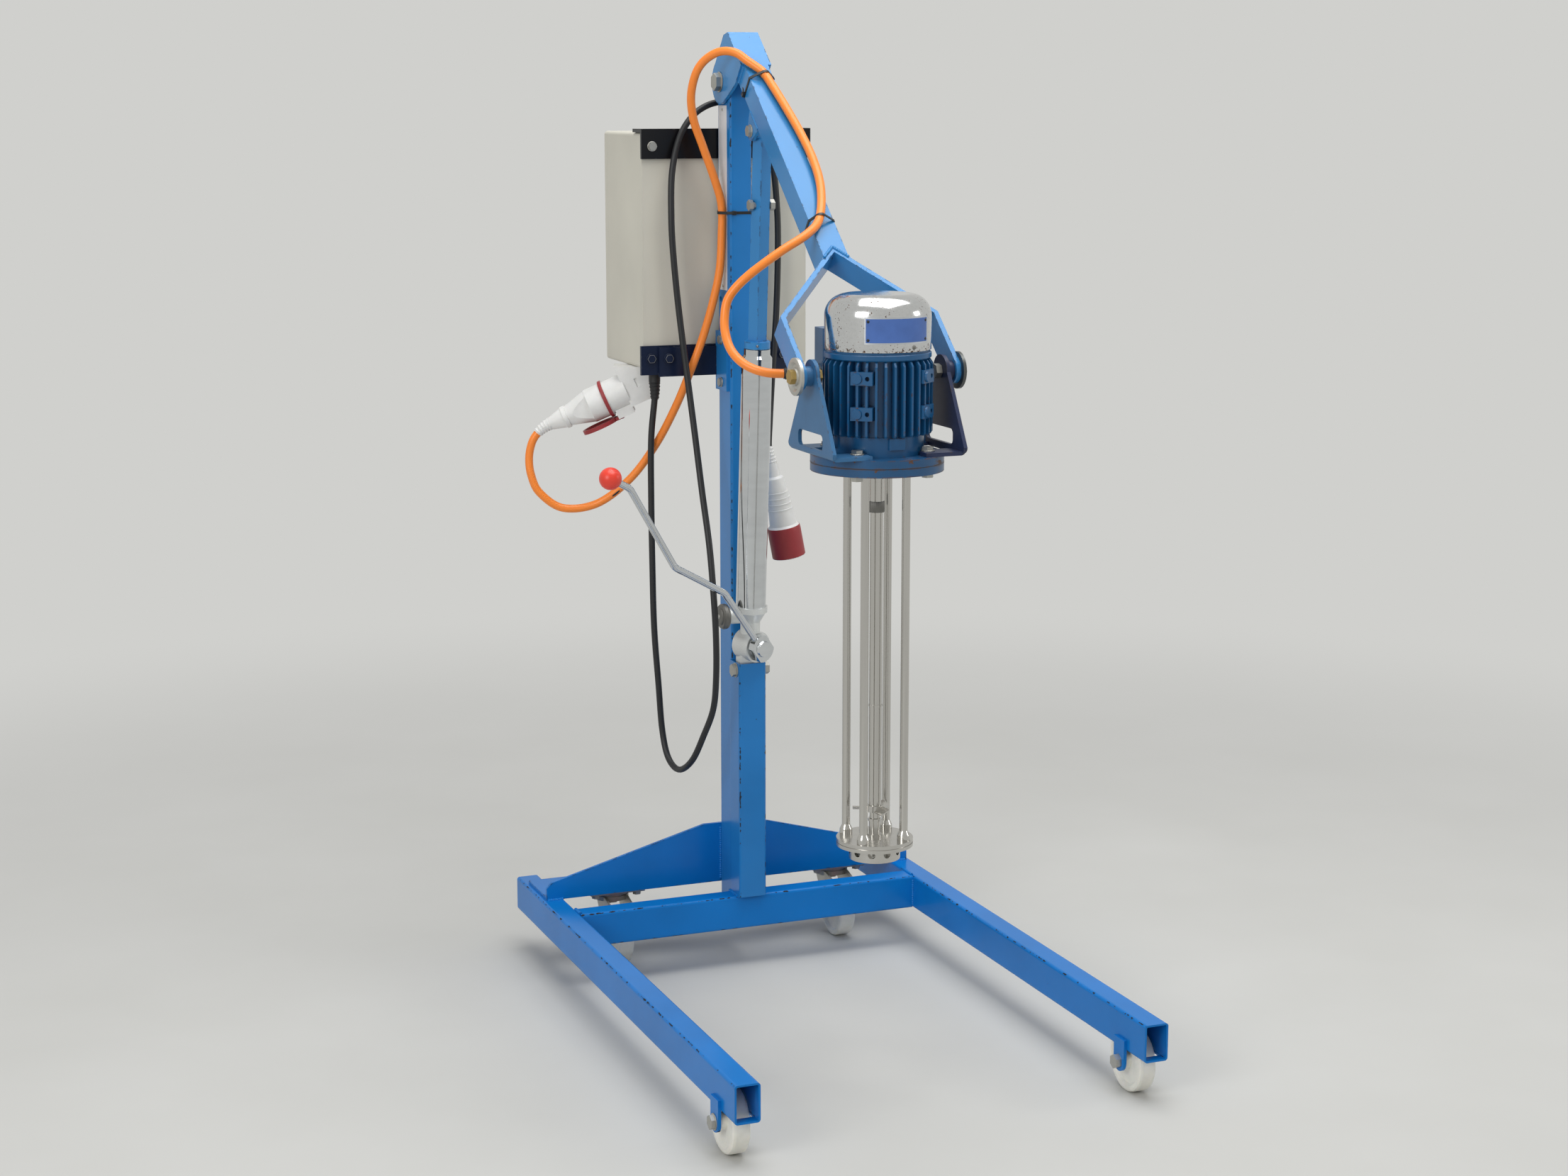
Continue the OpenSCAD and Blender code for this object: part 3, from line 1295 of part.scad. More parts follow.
module socket_housing() {
  r = sock_d / 2;
  color(white) {
    difference() {
      union() {
        in_socket() translate([0, -4, 0]) xz(sock_d - 3) polygon([[5, sock_roof(5)], [5, 1 - r],
          [-1.4 * r, 1 - r], [-1.9 * r, 0.3 * r - 10], [-2.1 * r, sock_roof(-2.1 * r)]]);
        in_socket() translate([2, 0, 0]) rotate([0, 90, 0]) cylinder(d = sock_d, h = sock_l - 2);
        for (e = [-1, 1]) in_socket() translate([4, e * 16 - 4, -sock_d / 2 - 10])
          cube([sock_l - 8, 8, 16]);
      }
      in_socket() translate([sock_l - 20, 0, 0]) rotate([0, 90, 0]) cylinder(d = sock_d - 12, h = 30);
      in_socket() translate([-0.8 * r, r - 8, -2]) cube([6, 6, 16]);
    }
    in_socket() translate([sock_l - 10, 0, -sock_d / 2 - 7]) rotate([90, 0, 0])
      cylinder(d = lid_pin, h = 40, center = true);
  }
}

module power_plug() {
  r = plug_d / 2;
  color(white) in_socket() translate([sock_l, 0, 0]) difference() {
    rotate([0, 90, 0]) rotate_extrude() polygon([[0, 0], [r, 0], [r, 6], [r - 3, 7], [r - 3, 34],
      [r - 4.5, 37], [r - 15, plug_l - 34], [r - 13, plug_l - 33], [r - 13, plug_l - 26],
      [r - 15, plug_l - 25], [motor_cable_d / 2 + 4, plug_l], [0, plug_l]]);
    for (e = [0, 1]) mirror([0, e, 0]) translate([34, r - 12, -r]) cube([plug_l - 69, r, 2 * r]);
  }
}

module socket_lid() {
  h = sock_d / 2 + 7;
  color(red) in_socket() translate([sock_l - 10, 0, -h]) difference() {
    union() {
      rotate([90, 0, 0]) cylinder(d = lid_pin + 5, h = 23, center = true);
      translate([42, 0, -5]) difference() {
        cylinder(d = plug_d - 2, h = 7);
        translate([0, 0, 3]) cylinder(d1 = plug_d - 12, d2 = plug_d - 8, h = 5);
      }
      translate([0, -11.5, -5]) cube([13, 23, 6]);
    }
    rotate([90, 0, 0]) cylinder(d = lid_pin + 2 * run, h = 60, center = true);
  }
}

module mains_plug() {
  color(white) translate([mains_at[0], col_y + mains_at[1], mains_at[2]])
    rotate([0, 180 - mains_lean, 0]) {
      rotate_extrude() polygon([[0, 0], [mains_cable_d / 2 + 4, 0], [mains_cable_d / 2 + 6, 24],
        [16, 28], [24, mains_l - 58], [mains_d / 2 - 1, mains_l - 54], [mains_d / 2, mains_l - 50],
        [mains_d / 2, mains_l], [mains_d / 2 - 4, mains_l], [mains_d / 2 - 4, mains_l - 38],
        [0, mains_l - 38]]);
      for (k = [0 : 4]) rotate([0, 0, 72 * k]) translate([14, 0, mains_l - 40])
        cylinder(d = 5, h = 28, $fn = 16);
    }
}

// Cables and their ties
module motor_cable_lower() {
  color(orange) cable(lower_route, motor_cable_d);
}

module motor_cable_upper() {
  color(orange) cable(upper_route, motor_cable_d);
}

module mains_cable() {
  color(black) cable(mains_route, mains_cable_d);
}

// A band round a bar of w by h that also holds a cable of width c on one side
module tie_2d(w, h, c, p, t) {
  g = c / 2 + 9;
  difference() {
    polygon([[w / 2 + t, -t], [w / 2 + t, h + t], [-w / 2, h + t], [-w / 2 - c - t, p + g + t],
      [-w / 2 - c - t, p - g - t], [-w / 2, -t]]);
    polygon([[w / 2, 0], [w / 2, h], [-w / 2, h], [-w / 2 - c, p + g], [-w / 2 - c, p - g],
      [-w / 2, 0]]);
  }
}

module column_tie() {
  color(black) translate([0, col_y, 1316]) linear_extrude(6)
    tie_2d(tube_w, tube_d, motor_cable_d + 2, 20, 1.6);
}

module arm_ties() {
  color(black) in_arm() for (k = [0.124, 0.581]) translate([0, -k * arm_reach, 0]) rotate([90, 90, 0])
    translate([-arm_rise, -arm_w / 2, 0]) linear_extrude(6, center = true)
      tie_2d(arm_h, arm_w, motor_cable_d + 2, arm_w / 2, 1.6);
}

base_rails();
rear_crossmember();
column();
jack_post();
front_axles();
caster_plates();
frame_bolts();
pivot_bolts();
enclosure_body();
enclosure_brackets();
starter_unit();
socket_housing();
power_plug();
motor_cable_lower();
mains_gland();
mains_cable();
mains_plug();
column_tie();
front_wheel_left();
front_wheel_right();
caster_fork_left();
caster_fork_right();
caster_wheel_left();
caster_wheel_right();
brake_pedal_left();
brake_pedal_right();
pump_body();
jack_cylinder();
release_knob();
pump_lever();
lever_knob();
ram_rod();
push_tube();
ram_bolt();
lift_arm();
link_bolt();
yoke();
trunnion_bolts();
trunnion_discs();
arm_ties();
motor_cable_upper();
motor_frame();
fan_cowl();
motor_flange();
mixer_flange();
hanger_brackets();
terminal_box();
cable_gland();
flange_bolts();
tie_rods();
base_disc();
stator_head();
shaft_bearings();
drive_shaft();
rotor();
propeller();
cooling_fan();
enclosure_door();
main_switch();
socket_lid();
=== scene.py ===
# %% [markdown]
# # A high-shear mixer on its lift stand
# This lesson dresses a finished mechanical model. Its solids arrive at their real size and place, in
# metres. The script gives them paint, metal and plastic, lays the cables at their true length, and adds the
# small things that make the machine real: weld beads, plates, a painted seam shadow, screws, boots and grips.

# %% Load the solids
import json
import math

import bmesh
import bpy
from mathutils import Matrix, Vector


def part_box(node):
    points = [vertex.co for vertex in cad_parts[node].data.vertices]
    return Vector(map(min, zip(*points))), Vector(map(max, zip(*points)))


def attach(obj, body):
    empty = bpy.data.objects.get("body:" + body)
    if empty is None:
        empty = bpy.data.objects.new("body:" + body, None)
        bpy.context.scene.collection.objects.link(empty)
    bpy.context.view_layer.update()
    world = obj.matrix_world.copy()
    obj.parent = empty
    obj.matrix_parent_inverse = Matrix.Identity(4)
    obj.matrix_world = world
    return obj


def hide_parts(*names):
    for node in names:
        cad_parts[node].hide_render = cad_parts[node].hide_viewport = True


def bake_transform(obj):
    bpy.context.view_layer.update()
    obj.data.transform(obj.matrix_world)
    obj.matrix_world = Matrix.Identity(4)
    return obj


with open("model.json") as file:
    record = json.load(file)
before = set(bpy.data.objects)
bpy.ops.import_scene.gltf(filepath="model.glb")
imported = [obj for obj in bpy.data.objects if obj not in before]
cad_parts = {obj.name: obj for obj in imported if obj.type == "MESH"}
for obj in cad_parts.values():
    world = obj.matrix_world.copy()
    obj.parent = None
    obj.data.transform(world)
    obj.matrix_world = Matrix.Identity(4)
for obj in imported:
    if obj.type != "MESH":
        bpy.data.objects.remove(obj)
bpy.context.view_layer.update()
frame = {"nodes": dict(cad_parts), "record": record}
nodes = frame["nodes"]
MM = 0.001
joint_at = {
    joint["name"]: Vector(joint["pos_m"])
    for joint in frame["record"]["behaviour"]["joints"]
    if "pos_m" in joint
}

# %% [markdown]
# ## Camera
# The photograph was taken from the front left, a little above the motor, with a long lens. The camera
# stands where that photographer stood. Its tilt is measured down from the level and its turn from the
# machine's own front.

# %% Camera
LENS_MM = 61.23
EYE = Vector((-1.627, -3.963, 1.527))
LOOK_DOWN = 10.62
LOOK_RIGHT = 21.82
lens = bpy.data.cameras.new("photo_camera")
lens.lens = LENS_MM
lens.sensor_width = 36
camera = bpy.data.objects.new("photo_camera", lens)
camera.location = EYE
camera.rotation_euler = (math.radians(90 - LOOK_DOWN), 0, math.radians(-LOOK_RIGHT))
scene = bpy.context.scene
scene.collection.objects.link(camera)
scene.camera = camera
scene.view_settings.view_transform = "Standard"
print("camera", round((EYE - joint_at["head_level"]).length, 2), "m from the motor")

# %% [markdown]
# ## Helpers for materials
# Colours are written as people read them, as sRGB hex values, and shaders want linear light, so one function
# converts them. Another adds a shader node, fills its sockets with values or links, and hands it back. The
# rest are short names for the nodes that every finish needs: noise of a given grain, a ramp, a sum and a mix
# of two colours. The last one gives a solid two colours, because some pairs of pieces here were finished at
# different times, and on one hanger the second colour is partly painted shade.

# %% Colour and node helpers
def linear(code, gain=1.0):
    """A hex colour as linear light, made lighter or darker by a gain."""
    channels = [int(code[place:place + 2], 16) / 255 for place in (1, 3, 5)]
    light = [c / 12.92 if c <= 0.04045 else ((c + 0.055) / 1.055) ** 2.4 for c in channels]
    return [min(1.0, gain * c) for c in light] + [1.0]


def add(tree, kind, sockets=None, **settings):
    """One shader node with its settings, its socket values and its links."""
    made = tree.nodes.new("ShaderNode" + kind)
    for name, value in settings.items():
        setattr(made, name, value)
    for name, value in (sockets or {}).items():
        if isinstance(value, bpy.types.NodeSocket):
            tree.links.new(value, made.inputs[name])
        else:
            made.inputs[name].default_value = value
    return made


def new_finish(name):
    """An empty material with its tree, its shader and the object's own coordinates."""
    finish = bpy.data.materials.new(name)
    finish.use_nodes = True
    tree = finish.node_tree
    return finish, tree, tree.nodes["Principled BSDF"], add(tree, "TexCoord").outputs["Object"]


def noise(tree, place, grain_mm, detail, rough=0.5):
    """Clouds or specks of a given grain."""
    return add(tree, "TexNoise", {"Vector": place, "Scale": 1 / (grain_mm * MM), "Detail": detail,
                                  "Roughness": rough}).outputs[0]


def ramp(tree, value, low, high, first=0.0, last=1.0):
    """A value carried from one range to another."""
    return add(tree, "MapRange", {"Value": value, "From Min": low, "From Max": high, "To Min": first,
                                  "To Max": last}).outputs[0]


def maths(tree, operation, *values):
    """A sum, a product or the like."""
    return add(tree, "Math", dict(enumerate(values)), operation=operation).outputs[0]


def mix(tree, share, first, second):
    """Two colours mixed by a share."""
    return add(tree, "Mix", {0: share, 6: first, 7: second}, data_type="RGBA").outputs[2]


def bump(tree, height, strength, deep_mm):
    """A normal tilted by a height."""
    return add(tree, "Bump", {"Height": height, "Strength": strength, "Distance": deep_mm * MM}).outputs[0]


def wire(tree, shader, colour, rough, normal):
    """Links a finish's colour, roughness and normal to its shader."""
    tree.links.new(colour, shader.inputs["Base Color"])
    tree.links.new(rough, shader.inputs["Roughness"])
    tree.links.new(normal, shader.inputs["Normal"])


def two_tone(tree, place, below, axis, level, above):
    """One colour up to a level along an axis, and another colour past it."""
    parts = add(tree, "SeparateXYZ", {"Vector": place})
    return mix(tree, maths(tree, "GREATER_THAN", parts.outputs[axis], level), below, linear(above))


print("helpers ready")

# %% [markdown]
# ## Painted steel
# The stand is sprayed with a gloss enamel. Such paint shows three things: a slow change of tone where the
# coat is thicker, a faint orange peel in the gloss, and chips that start at the edges and show the dark
# steel. A texture image could hold the chips, but a Bevel node finds the sharp edges of any solid by itself:
# where the rounded normal and the true normal differ, there is an edge. The corners of a square tube are
# round, so there it sees nothing. On a tube that stands square to the axes, a corner is where the normal
# points along no axis. Real chips are often under a millimetre, so they are drawn a little coarser.

# %% Enamel
EDGE_STARTS, EDGE_FULL = 0.985, 0.8
CHIP_ROUGH = 0.62


def enamel(name, colour, bare, chip_mm, wear, limit, rough, tone_mm=140, peel_mm=3.0, shine=0.4, tube=False,
           past=None):
    """Sprayed enamel on steel, with chips along the edges, and another colour past some level."""
    finish, tree, shader, place = new_finish(name)
    tone = mix(tree, noise(tree, place, tone_mm, 3.0), linear(colour, 0.8), linear(colour, 1.2))
    if past:
        tone = two_tone(tree, place, tone, *past)
    if tube:
        normal = add(tree, "VectorMath", {0: add(tree, "TexCoord").outputs["Normal"]}, operation="ABSOLUTE")
        part = add(tree, "SeparateXYZ", {"Vector": normal.outputs[0]}).outputs
        facing = maths(tree, "MAXIMUM", maths(tree, "MAXIMUM", part["X"], part["Y"]), part["Z"])
    else:
        rounded = add(tree, "Bevel", {"Radius": 5 * MM}, samples=4)
        true = add(tree, "NewGeometry")
        facing = add(tree, "VectorMath", {0: rounded.outputs[0], 1: true.outputs["Normal"]},
                     operation="DOT_PRODUCT").outputs["Value"]
    edge = ramp(tree, facing, EDGE_STARTS, EDGE_FULL, 0.0, wear)
    speck = noise(tree, place, chip_mm, 4.0, 0.62)
    chip = ramp(tree, maths(tree, "ADD", edge, speck), limit, limit + 0.03)
    gloss = add(tree, "Mix", {0: chip, 2: rough, 3: CHIP_ROUGH}).outputs[0]
    peel = maths(tree, "MULTIPLY", noise(tree, place, peel_mm, 1.0), 0.25)
    wire(tree, shader, mix(tree, chip, tone, linear(bare)), gloss,
         bump(tree, maths(tree, "SUBTRACT", peel, chip), 0.25, 0.15))
    shader.inputs["Specular IOR Level"].default_value = shine
    return finish


# Bright blue machine enamel on the square tubes: glossy, with dark steel at the knocked corners
tube_enamel = enamel("tube_enamel", "#237abf", "#1c232c", 11, 0.19, 0.73, 0.24, shine=0.3, tube=True)
# The same enamel on the legs, darker and more saturated there
rail_enamel = enamel("rail_enamel", "#0c76c6", "#1c232c", 11, 0.19, 0.73, 0.24, shine=0.2, tube=True)
# The same as on the legs, for the plate between them and the welds
plate_enamel = enamel("plate_enamel", "#0c76c6", "#1c232c", 11, 0.2, 0.74, 0.24, shine=0.2)
# The same enamel on the arm and the yoke, paler there
stand_enamel = enamel("stand_enamel", "#3384c2", "#1c232c", 11, 0.2, 0.74, 0.24)
# Darker motor enamel, thicker and duller, with brown rust where it has gone
motor_enamel = enamel("motor_enamel", "#195684", "#4d3528", 8, 0.17, 0.74, 0.28, tone_mm=70, shine=0.45)
# The same enamel on the flanges, dusty, with rust in patches at their rims
flange_enamel = enamel("flange_enamel", "#1f507a", "#5a3d2b", 19, 0.22, 0.64, 0.32, tone_mm=45, shine=0.45)
# Paler, duller enamel of the left hanger; the right one dark navy, partly its paint and partly painted shade
hanger_enamel_and_shade = enamel("hanger_enamel_and_shade", "#376a95", "#4a3c34", 11, 0.18, 0.73, 0.4, tone_mm=45, shine=0.35,
                       past=("X", 0.0, "#26304f"))
# Bracket paint: black on the upper bracket and navy on the lower one, scuffed to bare grey at the edges
bracket_enamel = enamel("bracket_enamel", "#14203a", "#5a5d60", 6, 0.14, 0.76, 0.3, shine=0.3,
                        past=("Z", 1.25, "#0c0c0f"))
# Cream powder coat of the switch box: even and matt, hardly chipped
cream_coat = enamel("cream_powder_coat", "#cac7ba", "#8f8b80", 8, 0.08, 0.8, 0.5, tone_mm=260, peel_mm=1.6)
print("enamels:", [stand_enamel.name, motor_enamel.name, bracket_enamel.name, cream_coat.name])

# %% [markdown]
# ## Bare and plated metal
# All metals share one recipe: a metallic shader, a grain that is stretched along the way in which the piece
# was turned or drawn, a slow change of gloss from handling, and small pits where plating has failed. The
# grain of a polished bar is far finer than a pixel, so it is drawn as coarse as it has to be to show.

# %% Metal
RIM_REACH = 14 * MM
PIT_ROUGH = 0.7


def metal(name, colour, rough, grain_mm, spread=0.1, pit_mm=3.0, pit_limit=0.95, pit="#4a3a30", lines=0.05,
          past=None, rim=None):
    """Bare or plated metal with a stretched grain, uneven gloss and small pits, more of them near a rim."""
    finish, tree, shader, place = new_finish(name)
    stretch = add(tree, "Mapping", {"Vector": place, "Scale": [1 / (size * MM) for size in grain_mm]})
    grain = add(tree, "TexNoise", {"Vector": stretch.outputs[0], "Scale": 1.0, "Detail": 3.0}).outputs[0]
    hands = noise(tree, place, 45, 4.0)
    patch = maths(tree, "MULTIPLY_ADD", hands, 0.35, noise(tree, place, pit_mm, 5.0, 0.7))
    if rim:
        height = add(tree, "SeparateXYZ", {"Vector": place}).outputs["Z"]
        patch = maths(tree, "ADD", patch, ramp(tree, height, rim, rim + RIM_REACH, 0.11, 0.0))
    pitted = ramp(tree, patch, pit_limit, pit_limit + 0.04)
    tone = mix(tree, grain, linear(colour, 0.9), linear(colour, 1.08))
    if past:
        tone = two_tone(tree, place, tone, *past)
    gloss = ramp(tree, hands, 0.3, 0.7, rough, rough + spread)
    dull = add(tree, "Mix", {0: pitted, 2: gloss, 3: PIT_ROUGH}).outputs[0]
    wire(tree, shader, mix(tree, pitted, tone, linear(pit)), dull,
         bump(tree, maths(tree, "SUBTRACT", grain, pitted), lines, 0.1))
    shader.inputs["Metallic"].default_value = 1.0
    return finish


# Hard chrome on the cylinder and the lever: a mirror with the faintest turning marks
chrome = metal("hard_chrome", "#cdd0d2", 0.05, (40, 40, 12), spread=0.05, pit_limit=1.3, lines=0.0)
# Old decorative chrome on the fan cowl, pitted through to rust in patches
cowl_chrome = metal("pitted_chrome", "#d3d4d4", 0.08, (5, 5, 5), spread=0.12, pit_mm=5, pit_limit=0.79,
                    pit="#5b463a", lines=0.12, rim=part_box("fan_cowl")[0].z)
# Drawn stainless steel of the rods, lines along their length
rod_steel = metal("drawn_stainless", "#c3c1bc", 0.13, (6, 6, 160), spread=0.06, pit_limit=1.3, lines=0.0)
# Turned stainless steel of the discs and the stator, lines round the axis
turned_steel = metal("turned_stainless", "#c2c0bb", 0.2, (20, 20, 2), spread=0.08, pit_limit=1.3, lines=0.02)
# Zinc plate on bolts and casters: soft grey with a slight bloom
zinc_plate = metal("zinc_plate", "#b3b2ac", 0.36, (3, 3, 3), spread=0.2, pit_mm=2.5, pit_limit=0.9,
                   lines=0.12)
# Galvanised steel of the trunnion discs: pale on the left, and an older, dark one on the right
disc_zinc = metal("disc_zinc", "#bdbcb6", 0.34, (4, 4, 4), spread=0.2, pit_limit=0.9, lines=0.1,
                  past=("X", 0.0, "#5f6160"))
# Dull brass of the plug's pins and the shaft's bearings
dull_brass = metal("dull_brass", "#b39a63", 0.38, (3, 3, 3), spread=0.18, pit_mm=3, pit_limit=0.88)
# Plating of the trunnion bolts: yellowed on the left, and a newer zinc one on the right
bolt_plating = metal("bolt_plating", "#b39a63", 0.38, (3, 3, 3), spread=0.18, pit_mm=3, pit_limit=0.88,
                     past=("X", 0.0, "#aaa9a2"))
# Sand-cast aluminium of the pump: pale, rough and a little dirty
cast_aluminium = metal("cast_aluminium", "#dddfde", 0.46, (2.2, 2.2, 2.2), spread=0.16, pit_mm=5,
                       pit_limit=0.9, pit="#7d7a74", lines=0.3)
# Dark, dull steel of the valve knob and the shaft's knurled ring
dark_steel = metal("dark_steel", "#7c7b77", 0.42, (3, 3, 3), spread=0.16, pit_limit=0.9, lines=0.1)
# Anodised aluminium of the motor's plate, lacquered blue inside its bare border
plate_lacquer = enamel("blue_lacquer", "#4c6fb4", "#b3b6ba", 5, 0.1, 0.74, 0.26, tone_mm=30, peel_mm=2.0)
# Bare aluminium sheet of that border
plate_aluminium = metal("satin_aluminium", "#c4c8cc", 0.34, (40, 40, 0.6), spread=0.1, lines=0.08)
print("metals:", [finish.name for finish in (chrome, cowl_chrome, rod_steel, turned_steel, zinc_plate)])

# %% [markdown]
# ## Moulded plastic and rubber
# Plastics are coloured right through, so they don't chip. What the eye sees is a fine moulded grain, a little
# grime in the low-lying tone and a gloss that says which plastic it is.

# %% Plastic
def moulded(name, colour, rough, grain_mm=0.9, grime=0.85, tone_mm=30, depth=0.2, through=0.0):
    """A moulded plastic or rubber, coloured right through."""
    finish, tree, shader, place = new_finish(name)
    cloud = noise(tree, place, tone_mm, 5.0, 0.6)
    wire(tree, shader, mix(tree, cloud, linear(colour, grime), linear(colour, 1.1)),
         ramp(tree, cloud, 0.3, 0.7, rough + 0.1, rough),
         bump(tree, noise(tree, place, grain_mm, 2.0), depth, 0.1))
    shader.inputs["Subsurface Weight"].default_value = through
    shader.inputs["Subsurface Radius"].default_value = (3 * MM, 2 * MM, 1.2 * MM)
    return finish


# Orange polyurethane cable sheath: smooth, with a long bright highlight
orange_sheath = moulded("orange_polyurethane", "#fd8a30", 0.3, grain_mm=4, grime=0.95, tone_mm=90, depth=0.02)
# Black rubber cable sheath: nearly no highlight
black_rubber = moulded("black_rubber", "#1a1b1d", 0.42, grain_mm=3, grime=0.8, tone_mm=60, depth=0.06)
# Black nylon of ties, switch and fan
black_nylon = moulded("black_nylon", "#17181a", 0.38, grain_mm=1.0)
# White polyamide of the plugs, a little grey with use
plug_white = moulded("white_polyamide", "#e9e9e6", 0.34, grime=0.82, through=0.05)
# Dark red polyamide of the plug collars and the lid
plug_red = moulded("red_polyamide", "#9c2f33", 0.4, grime=0.75)
# Phenolic ball of the lever: hard, bright and glossy
ball_red = moulded("red_phenolic", "#e5412f", 0.3, grain_mm=6, grime=0.92, depth=0.02)
# Cast nylon of the wheels, yellowed by age and dirty at the tread
wheel_nylon = moulded("cast_nylon", "#f2f0e6", 0.4, grain_mm=3.0, grime=0.8, tone_mm=22, through=0.15)
# Grey moulded parts of the starter
starter_grey = moulded("grey_thermoset", "#6f7377", 0.5, grime=0.8)
# White vinyl of the column's strip
strip_vinyl = moulded("white_vinyl", "#e4e7ea", 0.4, grime=0.86, tone_mm=50, depth=0.05)
print("plastics:", [orange_sheath.name, black_rubber.name, plug_white.name, wheel_nylon.name])

# %% [markdown]
# ## Dress the solids
# Each solid keeps its mesh. Only what is in its material slots changes, so a finish is chosen by the solid's
# name.

# %% Give every solid its finish
SOLIDS_OF = {
    tube_enamel: ("column", "jack_post"),
    rail_enamel: ("base_rails",),
    plate_enamel: ("rear_crossmember",),
    stand_enamel: ("push_tube", "lift_arm", "yoke"),
    motor_enamel: ("motor_frame", "terminal_box"),
    flange_enamel: ("motor_flange", "mixer_flange"),
    hanger_enamel_and_shade: ("hanger_brackets",),
    bracket_enamel: ("enclosure_brackets",),
    cream_coat: ("enclosure_body", "enclosure_door"),
    chrome: ("jack_cylinder", "pump_lever", "ram_rod"),
    cowl_chrome: ("fan_cowl",),
    rod_steel: ("tie_rods", "drive_shaft"),
    turned_steel: ("base_disc", "stator_head", "rotor", "propeller"),
    zinc_plate: ("front_axles", "caster_plates", "frame_bolts", "pivot_bolts", "caster_fork_left",
                 "caster_fork_right", "ram_bolt", "link_bolt", "cable_gland", "flange_bolts"),
    disc_zinc: ("trunnion_discs",),
    bolt_plating: ("trunnion_bolts",),
    dull_brass: ("shaft_bearings",),
    cast_aluminium: ("pump_body",),
    dark_steel: ("release_knob",),
    orange_sheath: ("motor_cable_lower", "motor_cable_upper"),
    black_rubber: ("mains_cable", "mains_gland"),
    black_nylon: ("column_tie", "arm_ties", "main_switch", "cooling_fan"),
    plug_white: ("socket_housing", "power_plug", "mains_plug"),
    plug_red: ("socket_lid", "brake_pedal_left", "brake_pedal_right"),
    ball_red: ("lever_knob",),
    wheel_nylon: ("front_wheel_left", "front_wheel_right", "caster_wheel_left", "caster_wheel_right"),
    starter_grey: ("starter_unit",),
}
for finish, names in SOLIDS_OF.items():
    for name in names:
        for held in nodes[name].material_slots:
            held.material = finish
dressed = {name for names in SOLIDS_OF.values() for name in names}
print("dressed", len(dressed), "of", len(nodes), "solids")

# %% [markdown]
# ## Three ways to make a small piece
# Nearly every added piece is one of three shapes: a profile turned round an axis, a round section swept along
# a path, or a slab with softened edges. The first two are rings of points under one skin. Each of these
# functions gives back points and faces, and one more joins any number of them into a single object, gives it
# a finish and lets it ride on a body.

# %% Shape helpers
# A sweep's first side: no path here runs along it
ODD_SIDE = Vector((0.17, 1.0, 0.11))
# A turned profile stays a hair off its axis, and a foot sinks a little into what it stands on, in mm
HAIR, SUNK = 0.05, -0.3
UP, DOWN, LEFT, FRONT, BACK = (0, 0, 1), (0, 0, -1), (-1, 0, 0), (0, -1, 0), (0, 1, 0)


def stand_on(at, axis):
    """A matrix whose origin is a point and whose Z runs along an axis."""
    return Matrix.Translation(at) @ Vector(axis).to_track_quat("Z", "Y").to_matrix().to_4x4()


def around(count):
    """Equal angles round a circle."""
    return [2 * math.pi * step / count for step in range(count)]


def skin(rings, closed):
    """Points and faces of a skin over rings of equally many points, with caps unless it is closed."""
    count = len(rings[0])
    points = [point for ring in rings for point in ring]
    last = len(points) - count
    faces = [] if closed else [tuple(reversed(range(count))), tuple(range(last, len(points)))]
    for here in range(0, len(points) if closed else last, count):
        there = (here + count) % len(points)
        for k in range(count):
            nxt = (k + 1) % count
            faces.append((here + k, here + nxt, there + nxt, there + k))
    return points, faces


def turned(profile, at, axis, steps=40, lobes=0, depth=0.0):
    """A closed profile of (radius, height) in mm turned round an axis, with lobes for a knurl or a grip."""
    put = stand_on(at, axis)
    rings = []
    for angle in around(steps):
        swell = depth * math.cos(lobes * angle)
        rings.append([put @ (MM * Vector(((r + swell) * math.cos(angle), (r + swell) * math.sin(angle), h)))
                      for r, h in profile])
    return skin(rings, closed=True)


def swept(path, radius, sides=12, ripple=0.0, ripple_mm=3.0):
    """A round section along a path, closed at both ends, with one radius or one for each point."""
    radii = radius if isinstance(radius, list) else [radius] * len(path)
    side = ODD_SIDE
    rings = []
    gone = 0.0
    for index, here in enumerate(path):
        before = path[max(index - 1, 0)]
        way = (path[min(index + 1, len(path) - 1)] - before).normalized()
        side = (side - way * side.dot(way)).normalized()
        other = way.cross(side)
        gone += (here - before).length
        size = radii[index] * (1 + ripple * math.sin(2 * math.pi * gone / (ripple_mm * MM)))
        rings.append([here + size * (math.cos(angle) * side + math.sin(angle) * other)
                      for angle in around(sides)])
    return skin(rings, closed=False)


def slab(size, put, soft=0.6 * MM):
    """A block with every edge cut back, placed by a matrix at its centre."""
    half = [max(s / 2, soft * 1.01) for s in size]
    points = []
    index = {}
    for corner in range(8):
        sign = [1 if corner >> bit & 1 else -1 for bit in range(3)]
        for keep in range(3):
            index[corner, keep] = len(points)
            points.append(put @ Vector([s * (h if k == keep else h - soft)
                                        for k, (s, h) in enumerate(zip(sign, half))]))
    faces = []
    for keep in range(3):
        u, v = (keep + 1) % 3, (keep + 2) % 3
        for sign in (0, 1):
            ring = [sign << keep | a << u | b << v for a, b in ((0, 0), (1, 0), (1, 1), (0, 1))]
            face = [index[corner, keep] for corner in ring]
            faces.append(face if sign else face[::-1])
        for a in (0, 1):
            for b in (0, 1):
                low = a << u | b << v
                high = low | 1 << keep
                strip = [index[low, u], index[high, u], index[high, v], index[low, v]]
                faces.append(strip if a == b else strip[::-1])
    for corner in range(8):
        face = [index[corner, keep] for keep in range(3)]
        faces.append(face if bin(corner).count("1") % 2 else face[::-1])
    return points, faces


